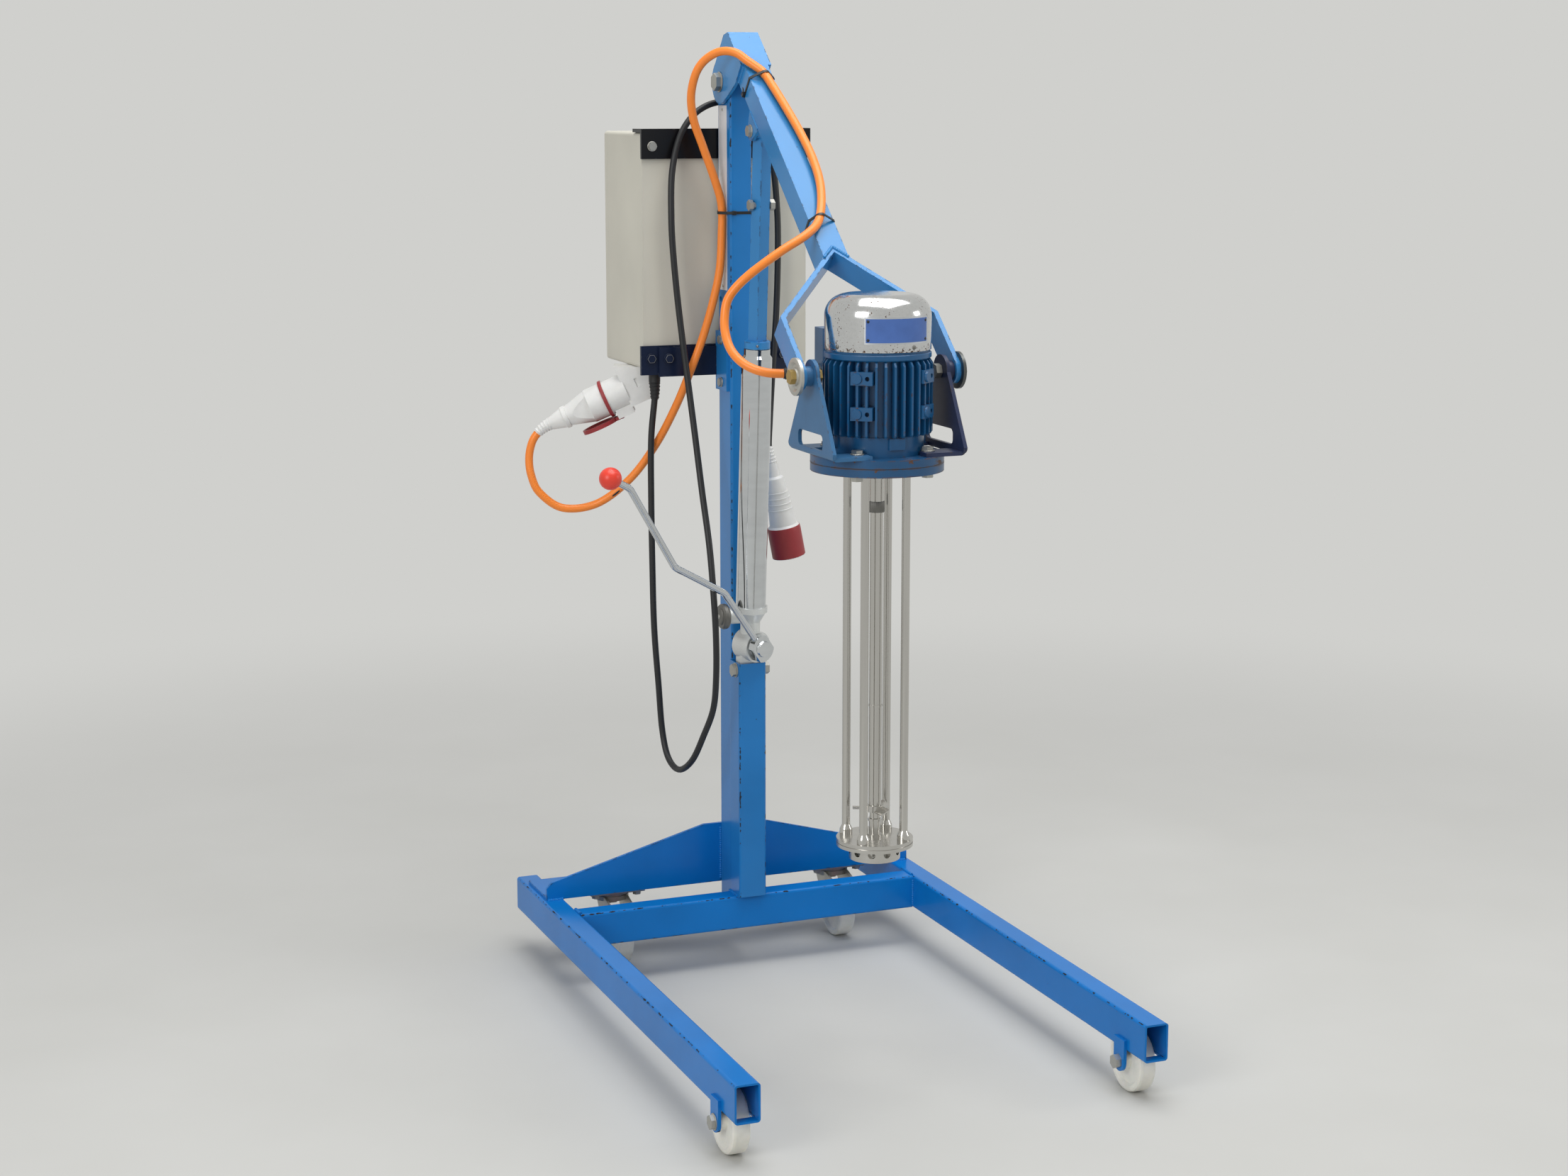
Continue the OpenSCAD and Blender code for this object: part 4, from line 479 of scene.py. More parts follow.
def piece(name, shapes, finish, body=None):
    """One object made of any number of shapes, with a finish, riding on a body."""
    points, faces = [], []
    for more, rings in shapes:
        faces += [[len(points) + corner for corner in ring] for ring in rings]
        points += more
    mesh = bpy.data.meshes.new(name)
    mesh.from_pydata(points, [], faces)
    mesh.validate()
    shell = bmesh.new()
    shell.from_mesh(mesh)
    bmesh.ops.recalc_face_normals(shell, faces=shell.faces)
    shell.to_mesh(mesh)
    shell.free()
    mesh.materials.append(finish)
    mesh.shade_smooth()
    mesh.set_sharp_from_angle(angle=math.radians(40))
    made = bpy.data.objects.new(name, mesh)
    scene.collection.objects.link(made)
    if body:
        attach(made, body)
    return made


print("shape helpers ready")

# %% [markdown]
# ## The cables
# Two cables leave this machine. The orange one runs from the motor's gland, along the arm, through two ties
# and down to a plug under the switch box. It bends where the arm and the motor turn, so it is made in two
# lengths that meet in the tie at the top of the arm. The black one is the mains lead: it is hung up over the
# stand, and its plug hangs behind the jack. All three are swept tubes on smooth curves.

# %% Routes, from the front face of the column
SPAN_STEPS = 10
face_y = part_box("column")[0].y


def at_face(x, y, z):
    """A point measured from the column's front face, in the machine's frame."""
    return Vector((x, y + face_y, z))


def from_face(points):
    """Any number of such points."""
    return [at_face(*point) for point in points]


def smooth(points):
    """A smooth curve through points, by the rule that each tangent joins the two neighbours."""
    ends = [2 * points[0] - points[1], *points, 2 * points[-1] - points[-2]]
    line = []
    for a, b, c, d in zip(ends, ends[1:], ends[2:], ends[3:]):
        for part in range(SPAN_STEPS):
            t = part / SPAN_STEPS
            line.append(0.5 * (2 * b + (c - a) * t + (2 * a - 5 * b + 4 * c - d) * t ** 2
                               + (3 * b - a - 3 * c + d) * t ** 3))
    return line + [points[-1]]


def length_of(line):
    """Length along a line of points."""
    return sum((b - a).length for a, b in zip(line, line[1:]))


MOTOR_CABLE_D = 14 * MM
MAINS_CABLE_D = 11 * MM
SOCKET_TURN = math.radians(20)
SOCKET_TIP = math.radians(24)
socket_way = Vector((-math.cos(SOCKET_TIP) * math.cos(SOCKET_TURN),
                     math.cos(SOCKET_TIP) * math.sin(SOCKET_TURN), -math.sin(SOCKET_TIP)))
PLUG_TO_TAIL = 0.148
socket_mouth = at_face(-0.160, 0.137, 1.012)
plug_tail = socket_mouth + PLUG_TO_TAIL * socket_way
arm_tie = at_face(0.003, -0.101, 1.549)
arm_tie_way = Vector((0.3, -0.7, -0.65)).normalized()
lower_points = [plug_tail, plug_tail + 0.006 * socket_way] + from_face([
    (-0.305, 0.190, 0.939), (-0.317, 0.194, 0.921), (-0.323, 0.196, 0.893), (-0.321, 0.192, 0.862),
    (-0.308, 0.185, 0.831), (-0.270, 0.171, 0.804), (-0.214, 0.150, 0.812), (-0.163, 0.120, 0.857),
    (-0.124, 0.095, 0.918), (-0.098, 0.065, 0.985), (-0.081, 0.042, 1.043), (-0.060, 0.034, 1.102),
    (-0.044, 0.025, 1.163), (-0.032, 0.020, 1.223), (-0.028, 0.020, 1.285), (-0.028, 0.020, 1.330),
    (-0.038, 0.020, 1.368), (-0.062, 0.020, 1.432), (-0.079, 0.015, 1.473), (-0.087, 0.006, 1.512),
    (-0.084, -0.006, 1.547), (-0.074, -0.017, 1.569), (-0.059, -0.033, 1.583), (-0.045, -0.048, 1.587),
    (-0.031, -0.064, 1.583), (-0.018, -0.078, 1.571)]) + [arm_tie - 0.010 * arm_tie_way, arm_tie]
gland_low, gland_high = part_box("cable_gland")
gland_end = Vector((gland_low.x, (gland_low.y + gland_high.y) / 2, (gland_low.z + gland_high.z) / 2))
upper_points = [arm_tie, arm_tie + 0.010 * arm_tie_way] + from_face([
    (0.015, -0.157, 1.501), (0.023, -0.211, 1.454), (0.025, -0.261, 1.411), (0.017, -0.310, 1.369),
    (-0.007, -0.361, 1.325), (-0.040, -0.390, 1.303), (-0.088, -0.397, 1.277), (-0.139, -0.389, 1.240),
    (-0.166, -0.380, 1.208), (-0.175, -0.384, 1.176), (-0.177, -0.396, 1.149), (-0.173, -0.414, 1.126),
    (-0.160, -0.438, 1.108), (-0.136, -0.458, 1.098)]) + [gland_end - Vector((0.022, 0, 0)), gland_end]
mains_gland_end = at_face(-0.130, 0.081, 1.029)
PLUG_LEAN = math.radians(11)
mains_way = Vector((math.sin(PLUG_LEAN), 0, -math.cos(PLUG_LEAN)))
mains_plug_tail = at_face(0.067, 0.030, 0.885)
mains_points = [mains_gland_end, mains_gland_end - Vector((0, 0, 0.028))] + from_face([
    (-0.136, 0.084, 0.930), (-0.137, 0.084, 0.829), (-0.136, 0.084, 0.712), (-0.133, 0.086, 0.596),
    (-0.125, 0.088, 0.490), (-0.117, 0.094, 0.409), (-0.113, 0.074, 0.362), (-0.107, 0.034, 0.349),
    (-0.099, -0.012, 0.376), (-0.086, -0.036, 0.425), (-0.074, -0.052, 0.475), (-0.076, -0.072, 0.536),
    (-0.079, -0.080, 0.609), (-0.081, -0.074, 0.682), (-0.080, -0.052, 0.761), (-0.081, -0.020, 0.850),
    (-0.085, 0.004, 0.948), (-0.091, 0.022, 1.041), (-0.097, 0.028, 1.102), (-0.104, 0.033, 1.175),
    (-0.111, 0.035, 1.259), (-0.113, 0.036, 1.319), (-0.109, 0.042, 1.385), (-0.094, 0.050, 1.440),
    (-0.070, 0.057, 1.476), (-0.040, 0.066, 1.496), (-0.005, 0.072, 1.504), (0.029, 0.068, 1.498),
    (0.055, 0.058, 1.475), (0.070, 0.050, 1.439), (0.077, 0.047, 1.397), (0.084, 0.046, 1.315),
    (0.084, 0.044, 1.235), (0.080, 0.042, 1.140), (0.071, 0.037, 1.040), (0.064, 0.032, 0.955)]) + [
        mains_plug_tail - 0.028 * mains_way, mains_plug_tail]
print("route points:", len(lower_points), len(upper_points), len(mains_points))

# %% Sweep the cables and print their lengths
lower_line = smooth(lower_points)
upper_line = smooth(upper_points)
mains_line = smooth(mains_points)
lower_cable = piece("motor_lead_lower", [swept(lower_line, MOTOR_CABLE_D / 2, sides=20)], orange_sheath)
upper_cable = piece("motor_lead_upper", [swept(upper_line, MOTOR_CABLE_D / 2, sides=20)], orange_sheath)
mains_cable = piece("mains_lead", [swept(mains_line, MAINS_CABLE_D / 2, sides=18)], black_rubber)
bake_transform(lower_cable)
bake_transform(upper_cable)
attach(mains_cable, "base")
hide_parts("motor_cable_lower")
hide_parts("motor_cable_upper")
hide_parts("mains_cable")
for made, line in ((lower_cable, lower_line), (upper_cable, upper_line), (mains_cable, mains_line)):
    print(made.name, round(length_of(line), 3), "m")

# %% [markdown]
# ## Boots and collars on the cables
# Where a cable leaves a housing, a tapered rubber boot keeps it from kinking. A turned sleeve would be
# straight, and these cables begin to bend inside their boots, so each boot is swept along the first stretch
# of its own cable with a radius for every step: that gives the taper and the ribs. The motor plug carries a
# thin dark red ring, and the mains plug a dark red shroud round five pins. A dark scar in the orange sheath,
# low on its loop, is one more sweep, tapered at both ends and sunk in the sheath.

# %% Strain reliefs
BOOT_RIBS = 5
RIB_HIGH = 0.9


def along(line, reach):
    """The point at a distance along a line of points."""
    for a, b in zip(line, line[1:]):
        step = (b - a).length
        if reach <= step:
            return a.lerp(b, reach / step)
        reach -= step
    return line[-1]


def boot(line, root, tip, reach):
    """A ribbed, tapered sleeve over the first stretch of a cable, sized in mm."""
    steps = 6 * BOOT_RIBS
    path = [along(line, MM * reach * step / steps) for step in range(steps + 1)]
    radii = [MM * (root + (tip - root) * step / steps + (RIB_HIGH if step % 6 in (2, 3) else 0))
             for step in range(steps + 1)]
    return swept(path, radii, sides=28)


piece("motor_gland_boot", [boot(upper_line[::-1], 10.4, 8, 30)], black_rubber, "head")
piece("motor_plug_boot", [boot(lower_line, 10.6, 8, 28)], plug_white, "base")
piece("mains_gland_boot", [boot(mains_line, 9.4, 6.6, 30)], black_rubber, "base")
piece("mains_plug_boot", [boot(mains_line[::-1], 9, 6.6, 30)], plug_white, "base")
print("boots: 4, each about 30 mm long")

# %% Scar in the orange sheath
SCAR_AT = 276 * MM
SCAR_MM = (0.5, 1.7, 2.4, 2.6, 2.6, 2.4, 1.7, 0.5)
SCAR_STEP = 4.4 * MM
SCAR_SUNK = 5.0 * MM
scar_side = Vector((-0.33, -0.85, -0.42)).normalized()
scar_path = [along(lower_line, SCAR_AT + SCAR_STEP * step) + SCAR_SUNK * scar_side
             for step in range(len(SCAR_MM))]
piece("sheath_scar", [swept(scar_path, [size * MM for size in SCAR_MM])], black_rubber, "base")
print("scar", round(length_of(scar_path) / MM), "mm long")

# %% Collars of the plugs
SOCKET_REACH = 38 * MM
plug_foot = socket_mouth + SOCKET_REACH * socket_way
piece("motor_plug_collar", [
    turned([(29.5, 0.3), (33.2, 0.3), (33.5, 1.2), (33.5, 5.2), (33.2, 6.2), (30.2, 7.2), (29.5, 7.2)],
           plug_foot, socket_way, steps=96, lobes=24, depth=0.2)], plug_red, "base")
PLUG_L = 170
SHROUD_R = 29
SHROUD_IN = PLUG_L - 37.5
piece("mains_plug_shroud", [
    turned([(24.8, SHROUD_IN), (24.8, PLUG_L + 0.3), (28.2, PLUG_L + 0.3), (SHROUD_R + 0.4, PLUG_L - 1),
            (SHROUD_R + 0.4, PLUG_L - 46), (SHROUD_R + 0.1, PLUG_L - 51), (SHROUD_R - 0.8, PLUG_L - 54.4),
            (27.5, PLUG_L - 54.4), (27.5, SHROUD_IN)], mains_plug_tail, mains_way, steps=64)],
      plug_red, "base")
piece("mains_plug_grip", [
    turned([(r - 1.2, h), (r + 0.5, h + 0.8), (r + 0.5, h + 3), (r - 1.2, h + 3.8)],
           mains_plug_tail, mains_way, steps=48)
    for h, r in ((52, 18.7), (62, 19.6), (72, 20.6), (82, 21.5))], plug_white, "base")
PIN_RING = 14
PIN_FOOT = PLUG_L - 39
pin_put = stand_on(mains_plug_tail, mains_way)
pins = []
for angle in around(5):
    foot = pin_put @ (MM * Vector((PIN_RING * math.cos(angle), PIN_RING * math.sin(angle), PIN_FOOT)))
    pins.append(turned([(1.0, 0), (2.75, 0), (2.75, 25.5), (1.9, 27.4), (1.0, 27.4)], foot, mains_way,
                       steps=16))
piece("mains_plug_pins", pins, dull_brass, "base")
print("collars, shroud and", len(pins), "pins made")

# %% [markdown]
# ## Strip and plate
# The column carries a long white strip, and the motor's cowl a curved metal plate, lacquered blue inside a
# thin bare border and held by four screws. Both are left without words. The plate follows the cowl: it is a
# patch of a cylinder, built row by row, so that its edge stands off the chrome by the sheet's thickness.

# %% Bare strip on the column
STRIP_LOW, STRIP_HIGH = 1.187, 1.498
STRIP_FRONT, STRIP_BACK = 0.0155, 0.0545
STRIP_T = 0.5 * MM
column_left = -20 * MM
strip_mid = at_face(column_left, (STRIP_FRONT + STRIP_BACK) / 2, (STRIP_LOW + STRIP_HIGH) / 2)
piece("column_strip", [slab((STRIP_T, STRIP_BACK - STRIP_FRONT, STRIP_HIGH - STRIP_LOW),
                            Matrix.Translation(strip_mid), soft=0.2 * MM)], strip_vinyl, "base")

# %% Bare plate on the cowl
cowl_low, cowl_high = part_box("fan_cowl")
head_y = (cowl_low.y + cowl_high.y) / 2
COWL_R = (cowl_high.x - cowl_low.x) / 2
PLATE_FROM, PLATE_TO = math.radians(-38), math.radians(40)
PLATE_LOW, PLATE_HIGH = 1.1537, 1.1935
PLATE_T = 0.8 * MM
PLATE_STEPS = 28


def on_cowl(angle, z, out=0.0):
    """A point on the cowl's side, at an angle from the front, standing out by a distance."""
    reach = COWL_R + out
    return Vector((reach * math.sin(angle), head_y - reach * math.cos(angle), z))


def curved_plate(first, last, low, high, thick):
    """A sheet that follows the cowl's side."""
    rings = []
    for column in range(PLATE_STEPS + 1):
        angle = first + (last - first) * column / PLATE_STEPS
        rings.append([on_cowl(angle, low), on_cowl(angle, low, thick), on_cowl(angle, high, thick),
                      on_cowl(angle, high)])
    return skin(rings, closed=False)


def dome(at, way, r, high):
    """A low round head, such as a rivet's, sized in mm."""
    arc = [(r * math.cos(a), high * math.sin(a)) for a in (0.0, 0.5, 1.0, 1.35)]
    return turned([(HAIR, SUNK), (r, SUNK)] + arc + [(HAIR, high)], at, way, steps=16)


piece("motor_plate", [curved_plate(PLATE_FROM, PLATE_TO, PLATE_LOW, PLATE_HIGH, PLATE_T)],
      plate_aluminium, "head")
BORDER = 2.2 * MM
border_turn = BORDER / COWL_R
piece("motor_plate_field", [curved_plate(PLATE_FROM + border_turn, PLATE_TO - border_turn, PLATE_LOW + BORDER,
                                         PLATE_HIGH - BORDER, PLATE_T + 0.2 * MM)], plate_lacquer, "head")


def cowl_screw(angle, z, out, r):
    """A low round screw head on the cowl's side."""
    way = on_cowl(angle, 0.0, 1.0) - on_cowl(angle, 0.0)
    return dome(on_cowl(angle, z, out), way, r, 0.55 * r)


plate_screws = [cowl_screw(angle, z, PLATE_T, 2.4)
                for angle in (PLATE_FROM + 0.07, PLATE_TO - 0.07)
                for z in (PLATE_LOW + 6 * MM, PLATE_HIGH - 6 * MM)]
piece("motor_plate_screws", plate_screws, black_nylon, "head")
COWL_SCREWS = [math.radians(turn) for turn in (18, 108, 198, 288)]
cowl_screws = [cowl_screw(turn, cowl_low.z + 7 * MM, 0.0, 3.6) for turn in COWL_SCREWS]
piece("cowl_screws", cowl_screws, dark_steel, "head")
strip_screws = [dome(at_face(column_left - STRIP_T, 0.035, z), LEFT, 2.4, 1.2)
                for z in (STRIP_LOW + 7 * MM, STRIP_HIGH - 7 * MM)]
piece("strip_screws", strip_screws, zinc_plate, "base")
print("plate", round((PLATE_TO - PLATE_FROM) * COWL_R / MM), "mm long,", len(cowl_screws), "cowl screws")

# %% [markdown]
# ## Weld beads
# The stand is welded from tube and plate, and the beads show at every joint under the paint. A bead is a
# swept section whose radius swells and shrinks by a few tenths, one ripple for each step of the torch.

# %% Beads on the stand
def bead(start, end, r=3):
    """A weld bead between two points, with its radius in mm."""
    a, b = Vector(start), Vector(end)
    steps = max(8, round((b - a).length / (0.8 * MM)))
    path = [a.lerp(b, step / steps) for step in range(steps + 1)]
    return swept(path, r * MM, sides=10, ripple=0.14, ripple_mm=4.0)


RAIL_W = 40 * MM
RAIL_TOP = 129 * MM
RAIL_UNDER = 69 * MM
BEAM_D = 40 * MM
PLATE_PEAK = 232 * MM
STITCHES = (0.2, 0.33, 0.47)
STITCH_L = 45 * MM
beam_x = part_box("base_rails")[1].x - 5 * MM - RAIL_W
inset = 6 * MM
beads = []
for side in (-1, 1):
    x = side * beam_x
    for y in (face_y, face_y - BEAM_D):
        beads.append(bead((x, y, RAIL_UNDER + inset), (x, y, RAIL_TOP - inset)))
    beads.append(bead((x, face_y - BEAM_D + inset, RAIL_TOP), (x, face_y - inset, RAIL_TOP)))
    cross_y = face_y + 60 * MM
    beads.append(bead((x + side * 2 * MM, cross_y, RAIL_TOP), (x + side * 31 * MM, cross_y, RAIL_TOP)))
    beads.append(bead((side * 20 * MM, cross_y, RAIL_TOP + inset), (side * 20 * MM, cross_y, PLATE_PEAK)))
    beads.append(bead((side * 25 * MM, face_y - BEAM_D, RAIL_TOP), (side * 25 * MM, face_y, RAIL_TOP)))
    for z in STITCHES:
        beads.append(bead((side * 21 * MM, face_y, z), (side * 21 * MM, face_y, z + STITCH_L), 2.6))
piece("frame_welds", beads, plate_enamel, "base")

# %% Beads on the arm
ARM_DROOP = math.radians(40.8)
ARM_HALF, ARM_UNDER, ARM_TOP = 21, 47, 87
arm_put = Matrix.Translation(joint_at["arm_lift"]) @ Matrix.Rotation(ARM_DROOP, 4, "X")


def on_arm(x, y, z):
    """A point in mm from the arm's pivot, with Y back along the arm."""
    return arm_put @ (MM * Vector((x, y, z)))


arm_beads = []
for x in (-ARM_HALF, ARM_HALF):
    rib_x = x / ARM_HALF * 20
    arm_beads.append(bead(on_arm(x, -59, ARM_UNDER + 2), on_arm(x, -59, ARM_TOP - 2), 2.6))
    arm_beads.append(bead(on_arm(rib_x, -128, ARM_UNDER), on_arm(rib_x, -172, ARM_UNDER), 2.4))
    arm_beads.append(bead(on_arm(x, -514, ARM_UNDER), on_arm(x, -514, ARM_TOP)))
    arm_beads.append(bead(on_arm(0, -489, ARM_TOP), on_arm(x, -512, ARM_TOP), 2.6))
piece("arm_welds", arm_beads, stand_enamel, "arm")
print("weld beads:", len(beads) + len(arm_beads))

# %% [markdown]
# ## Cable ties
# Three nylon ties hold the orange lead: one on the column and two on the arm. A real tie is pulled tight, so
# it runs straight from the tube's corners to the round of the cable. That outline is the convex hull of the
# corners and the cable's circle. The band is this outline with a thickness, and a head and a cut tail go
# with it. These ties replace the plain bands among the solids.

# %% Ties
BAND_W = 4.8 * MM
BAND_T = 1.4 * MM


def hull(points):
    """The convex outline round flat points, counter-clockwise."""
    rows = sorted(set(points))
    outline = []
    for row in (rows, rows[::-1]):
        half = []
        for p in row:
            while len(half) > 1 and ((half[-1][0] - half[-2][0]) * (p[1] - half[-2][1])
                                     <= (half[-1][1] - half[-2][1]) * (p[0] - half[-2][0])):
                half.pop()
            half.append(p)
        outline += half[:-1]
    return outline


def tie_band(corners, cable, put):
    """A tight band round a tube's corners and a cable, in a plane that a matrix places."""
    r = MOTOR_CABLE_D / 2 + 0.15 * MM
    inner = hull(corners + [(cable[0] + r * math.cos(a), cable[1] + r * math.sin(a)) for a in around(24)])
    rings = []
    for k, (u, v) in enumerate(inner):
        before, after = inner[k - 1], inner[(k + 1) % len(inner)]
        out = BAND_T * Vector((after[1] - before[1], before[0] - after[0])).normalized()
        rings.append([put @ Vector((u, v, -BAND_W / 2)), put @ Vector((u + out.x, v + out.y, -BAND_W / 2)),
                      put @ Vector((u + out.x, v + out.y, BAND_W / 2)), put @ Vector((u, v, BAND_W / 2))])
    return skin(rings, closed=True)


def tie_head(put, u, v, turn):
    """The lock of a tie and the cut end of its tail."""
    at = put @ Matrix.Translation((u, v, 0)) @ Matrix.Rotation(turn, 4, "Z")
    tail = at @ Matrix.Translation((2.2 * MM, -8 * MM, 0)) @ Matrix.Rotation(0.25, 4, "Z")
    return [slab((5 * MM, 7 * MM, 7 * MM), at), slab((1.3 * MM, 13 * MM, 4.6 * MM), tail, soft=0.3 * MM)]


swap = Matrix(((1, 0, 0, 0), (0, 0, 1, 0), (0, 1, 0, 0), (0, 0, 0, 1)))
arm_corners = [(x * MM, z * MM) for x in (-ARM_HALF, ARM_HALF) for z in (ARM_UNDER, ARM_TOP)]
arm_ties = []
for reach, line, head_u, head_v, turn in ((92, lower_line + upper_line, -24, 52, math.pi),
                                          (431, upper_line, 24, 64, 0)):
    near = min((arm_put.inverted() @ p for p in line), key=lambda p: abs(p.y + reach * MM))
    put = arm_put @ Matrix.Translation((0, -reach * MM, 0)) @ swap
    arm_ties.append(tie_band(arm_corners, (near.x, near.z), put))
    arm_ties += tie_head(put, head_u * MM, head_v * MM, turn)
arm_tie_bands = piece("arm_tie_bands", arm_ties, black_nylon, "arm")
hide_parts("arm_ties")
COLUMN_TIE = 1.319
near = min(lower_line, key=lambda p: abs(p.z - COLUMN_TIE))
column_put = Matrix.Translation((0, face_y, COLUMN_TIE))
column_corners = [(x * MM, y * MM) for x in (-20, 20) for y in (0, 60)]
column_tie_band = piece("column_tie_band", [tie_band(column_corners, (near.x, near.y - face_y), column_put)]
                        + tie_head(column_put, -14 * MM, -3.4 * MM, -math.pi / 2), black_nylon, "base")
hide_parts("column_tie")
print("ties: 3")

# %% [markdown]
# ## Washers and painted nuts
# Every bolt on the stand bears on a round washer a little wider than its head. The bolts of the lower bracket
# were painted over with it, so each gets a thin navy shell in the shape of its hexagon.

# %% Washers
def washer(at, way, bolt, thick=1.6):
    """A round washer under the head of a bolt, sized in mm."""
    r = 1.06 * bolt
    hole = 0.55 * bolt
    soft = 0.4
    return turned([(hole, 0), (r - soft, 0), (r, soft), (r, thick - soft), (r - soft, thick), (hole, thick)],
                  at, way, steps=32)


CLAMP_Z, CLAMP_BOLT = 1.066, 36.5 * MM
BRACKET_Z, BRACKET_BOLT = 1.430, 0.133
PAINTED_Z = 1.071
CASTER_X, CASTER_Y, CASTER_TOP = 0.212, 0.105, 0.135
CASTER_BOLT_X, CASTER_BOLT_Y = 38 * MM, 30 * MM
FLANGE_BOLT = 58 * MM
flange_low, flange_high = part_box("flange_bolts")
axle_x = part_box("front_axles")[1].x - 7.8 * MM
pivot, foot, wheel = (joint_at[name] for name in ("arm_lift", "jack_tilt", "front_roll_right"))
stand_washers, arm_washers, flange_washers = [], [], []
for side in (-1, 1):
    out = (side, 0, 0)
    for x, (_, y, z), bolt in ((27.3 * MM, pivot, 16), (25 * MM, foot, 12), (axle_x, wheel, 12)):
        stand_washers.append(washer((side * x, y, z), out, bolt))
    stand_washers.append(washer(at_face(-26 * MM, 0.030, CLAMP_Z + side * CLAMP_BOLT), LEFT, 8))
    stand_washers.append(washer(at_face(-0.005 + side * BRACKET_BOLT, 0.060, BRACKET_Z), FRONT, 8))
    arm_washers.append(washer(on_arm(side * ARM_HALF, -150, 24), out, 10))
    for end in (-1, 1):
        for x in (-CASTER_X, CASTER_X):
            at = at_face(x + side * CASTER_BOLT_X, CASTER_Y + end * CASTER_BOLT_Y, CASTER_TOP)
            stand_washers.append(washer(at, UP, 8))
        at = Vector((side * FLANGE_BOLT, joint_at["head_level"].y + end * FLANGE_BOLT, 0))
        flange_washers.append(washer(at + Vector((0, 0, flange_high.z - 6.5 * MM)), UP, 10))
        flange_washers.append(washer(at + Vector((0, 0, flange_low.z + 8 * MM)), DOWN, 10))
piece("stand_washers", stand_washers, zinc_plate, "base")
piece("arm_washers", arm_washers, zinc_plate, "arm")
piece("flange_washers", flange_washers, zinc_plate, "head")
painted = []
for x, y in ((-143 * MM, 60 * MM), (-113 * MM, 54 * MM), (99 * MM, 60 * MM)):
    at = at_face(x, y, PAINTED_Z)
    painted.append(washer(at, FRONT, 8.4, 1.9))
    painted.append(turned([(HAIR, 0.1), (7.9, 0.1), (7.9, 4.6), (6.8, 5.5), (HAIR, 5.5)], at, FRONT, steps=6))
piece("painted_nuts", painted, bracket_enamel, "base")
print("washers:", len(stand_washers) + len(arm_washers) + len(flange_washers))

# %% [markdown]
# ## Covers, a painted seam shadow, locks and grips
# The last small pieces are the ones that a hand or a screwdriver meets: the terminal box has a screwed cover,
# the switch box's door two slotted locks, each brake pedal a ribbed tread, and the valve's knob a screw. A
# thin dark ring between the two flanges stands for the shadow in their seam, and a knurled ring shows on the
# shaft below them.

# %% Covers, a painted seam shadow, locks and grips
mixer_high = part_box("mixer_flange")[1]
seam_r = mixer_high.x / MM
shaft_y = joint_at["mixer_spin"].y
seam_at = Vector((0, shaft_y, mixer_high.z))
# A dark ring standing a hair out from the flanges: painted shadow in the seam between them
piece("flange_seam_shadow", [turned([(seam_r - 3, -0.5), (seam_r + 0.15, -0.5), (seam_r + 0.15, 0.5),
                                (seam_r - 3, 0.5)], seam_at, UP, steps=120)], black_rubber, "head")
ring_at = Vector((0, shaft_y, flange_low.z - 58 * MM))
piece("shaft_knurl", [turned([(10, 0), (11.4, 0), (12.1, 1), (12.1, 16), (11.4, 17), (10, 17)], ring_at,
                             UP, steps=120, lobes=30, depth=0.25)], dark_steel, "mixer")
box_low, box_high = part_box("terminal_box")
cover_x, cover_z = box_high.x - box_low.x - 8 * MM, box_high.z - box_low.z - 8 * MM
cover_mid = Vector((0, box_high.y + 0.9 * MM, (box_low.z + box_high.z) / 2))
piece("terminal_cover", [slab((cover_x, 2 * MM, cover_z), Matrix.Translation(cover_mid))], motor_enamel,
      "head")
cover_screws = [dome(cover_mid + Vector((sx * (cover_x / 2 - 7 * MM), 1 * MM, sz * (cover_z / 2 - 7 * MM))),
                     BACK, 3.2, 1.8) for sx in (-1, 1) for sz in (-1, 1)]
piece("terminal_screws", cover_screws, zinc_plate, "head")
door_low, door_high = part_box("enclosure_door")
DOOR_FACE = 0.266 + face_y
locks = []
for z in (door_low.z + 70 * MM, door_high.z - 70 * MM):
    at = Vector((door_low.x + 22 * MM, DOOR_FACE, z))
    locks.append(turned([(7, SUNK), (11, SUNK), (11, 2), (10, 3), (7, 3)], at, BACK))
    locks.append(turned([(HAIR, SUNK), (6.6, SUNK), (6.6, 1.4), (HAIR, 1.4)], at, BACK, steps=28))
    locks.append(slab((1.6 * MM, 1.2 * MM, 10 * MM), Matrix.Translation(at + Vector((0, 1.9 * MM, 0)))
                      @ Matrix.Rotation(0.6, 4, "Y"), soft=0.3 * MM))
piece("door_locks", locks, zinc_plate, "door")
for side, name in ((-1, "left"), (1, "right")):
    hinge = joint_at["brake_" + name]
    pedal = Matrix.Translation(hinge) @ Matrix.Rotation(math.radians(-12), 4, "X")
    tread = [slab((26 * MM, 1.8 * MM, 1.6 * MM), pedal @ Matrix.Translation((0, -reach * MM, 4.9 * MM)),
                  soft=0.4 * MM) for reach in (7, 12, 17, 22)]
    piece("brake_tread_" + name, tread, plug_red, "brake_" + name)
knob_face = joint_at["valve_turn"].copy()
knob_face.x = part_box("release_knob")[0].x
piece("valve_screw", [dome(knob_face, LEFT, 4.2, 1.6)], zinc_plate, "release_valve")
print("locks, covers and grips made")

# %% [markdown]
# ## Light and floor
# The machine stands on a pale studio floor that fades into a pale background, under one broad soft light from
# above and a weaker one from the front left. The lamps are set so that a colour renders about as written.

# %% Studio
BACKDROP = "#d0d0cd"
AMBIENT = (0.34, 0.34, 0.35, 1)


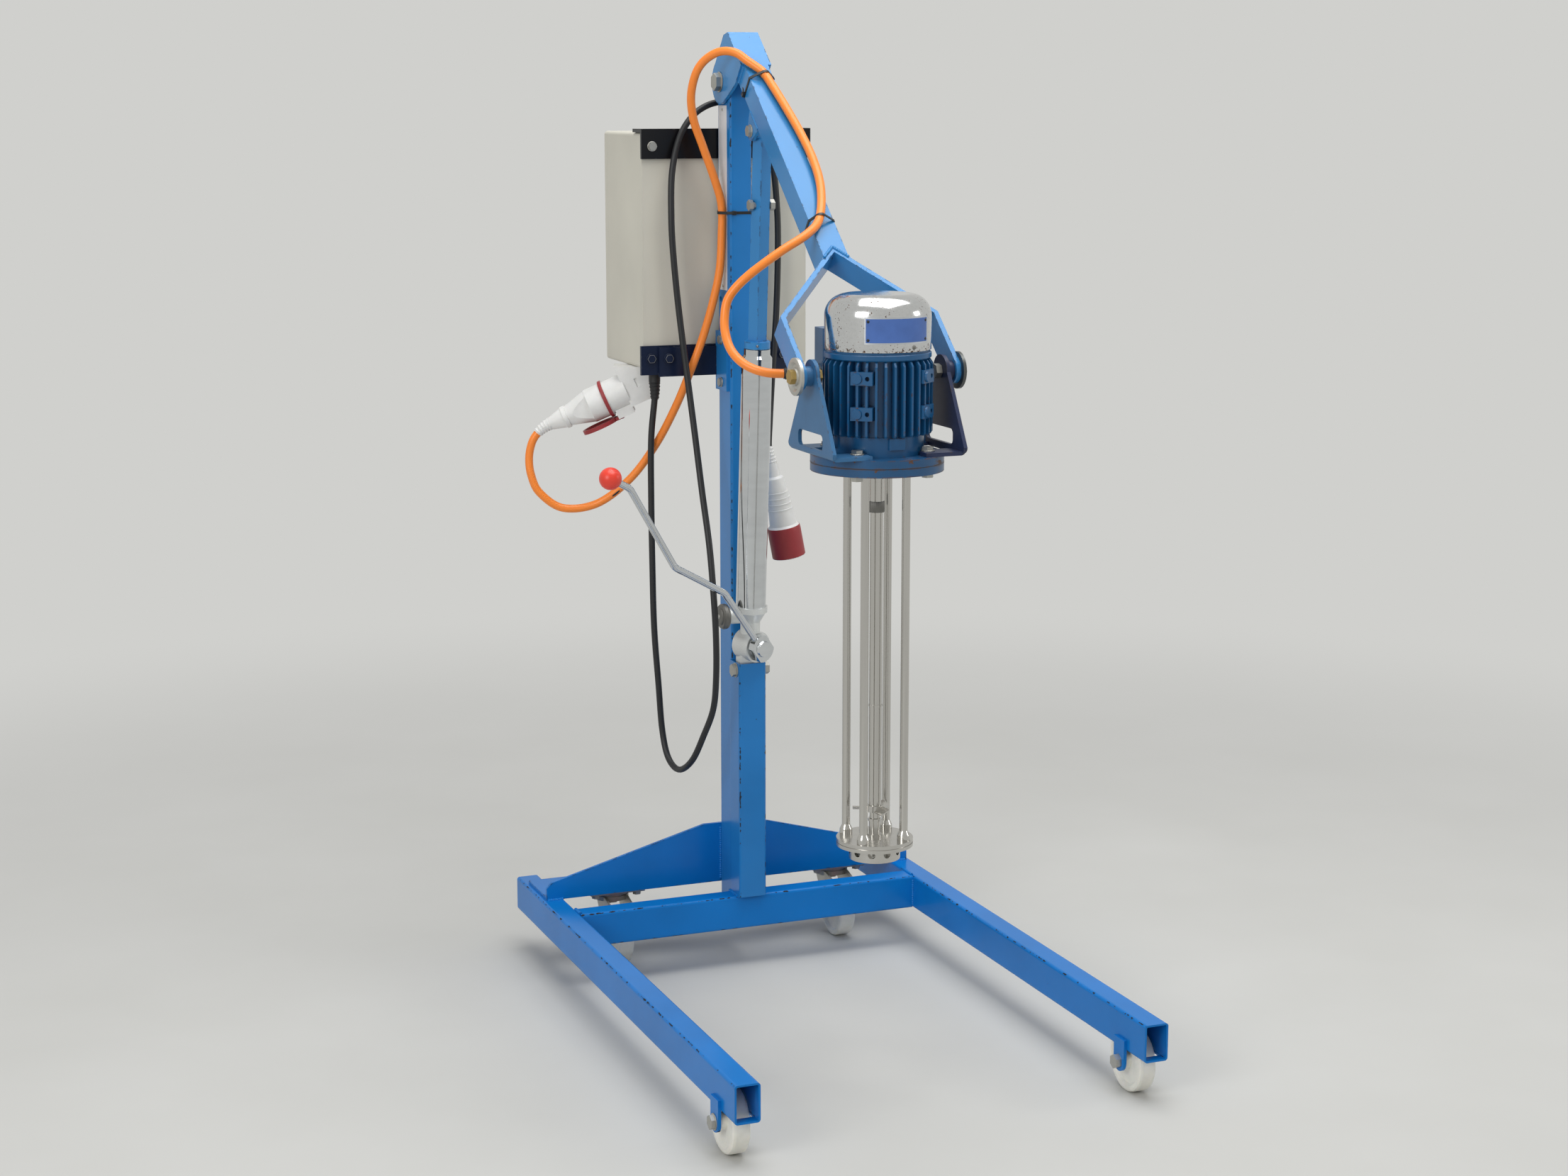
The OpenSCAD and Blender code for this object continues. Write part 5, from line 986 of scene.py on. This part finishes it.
def soft_light(name, at, aim, width, watts):
    """A broad lamp that faces a point."""
    lamp = bpy.data.lights.new(name, "AREA")
    lamp.size = width
    lamp.energy = watts
    held = bpy.data.objects.new(name, lamp)
    held.location = at
    held.rotation_euler = (Vector(aim) - Vector(at)).to_track_quat("-Z", "Y").to_euler()
    scene.collection.objects.link(held)


soft_light("overhead", (0.3, -0.3, 4.2), (0, 0, 0.8), 3.2, 125)
soft_light("front_left", (-3.9, -2.5, 2.6), (0, 0, 0.9), 2.0, 70)
soft_light("right_fill", (3.6, -1.6, 2.0), (0, 0, 0.9), 0.9, 14)

world = bpy.data.worlds.new("studio")
scene.world = world
world.use_nodes = True
sky = world.node_tree
rays = add(sky, "LightPath").outputs
seen = maths(sky, "MAXIMUM", rays["Is Camera Ray"], rays["Is Glossy Ray"])
shown = maths(sky, "MAXIMUM", seen, rays["Is Transmission Ray"])
sky.links.new(mix(sky, shown, AMBIENT, linear(BACKDROP)), sky.nodes["Background"].inputs["Color"])

FLOOR_HALF = 30.0
FADE_FROM, FADE_TO = 1.1, 3.6
paper, tree, shader, _ = new_finish("studio_paper")
where = add(tree, "NewGeometry").outputs["Position"]
far = add(tree, "VectorMath", {0: where}, operation="LENGTH")
fade = add(tree, "MapRange", {"Value": far.outputs["Value"], "From Min": FADE_FROM, "From Max": FADE_TO},
           interpolation_type="SMOOTHSTEP")
mottle = add(tree, "TexNoise", {"Vector": where, "Scale": 2.2, "Detail": 6.0}).outputs[0]
tree.links.new(mix(tree, mottle, linear("#c6c6c1"), linear("#d2d2ce")), shader.inputs["Base Color"])
shader.inputs["Roughness"].default_value = 0.7
glow = add(tree, "Emission", {"Color": linear(BACKDROP), "Strength": 1.0})
blended = add(tree, "MixShader", {0: fade.outputs[0], 1: shader.outputs[0], 2: glow.outputs[0]})
tree.links.new(blended.outputs[0], tree.nodes["Material Output"].inputs["Surface"])
floor = piece("floor", [([Vector((x, y, 0)) for x, y in ((-1, -1), (1, -1), (1, 1), (-1, 1))],
                         [(0, 1, 2, 3)])], paper)
floor.scale = (FLOOR_HALF, FLOOR_HALF, 1)
print("studio lit")
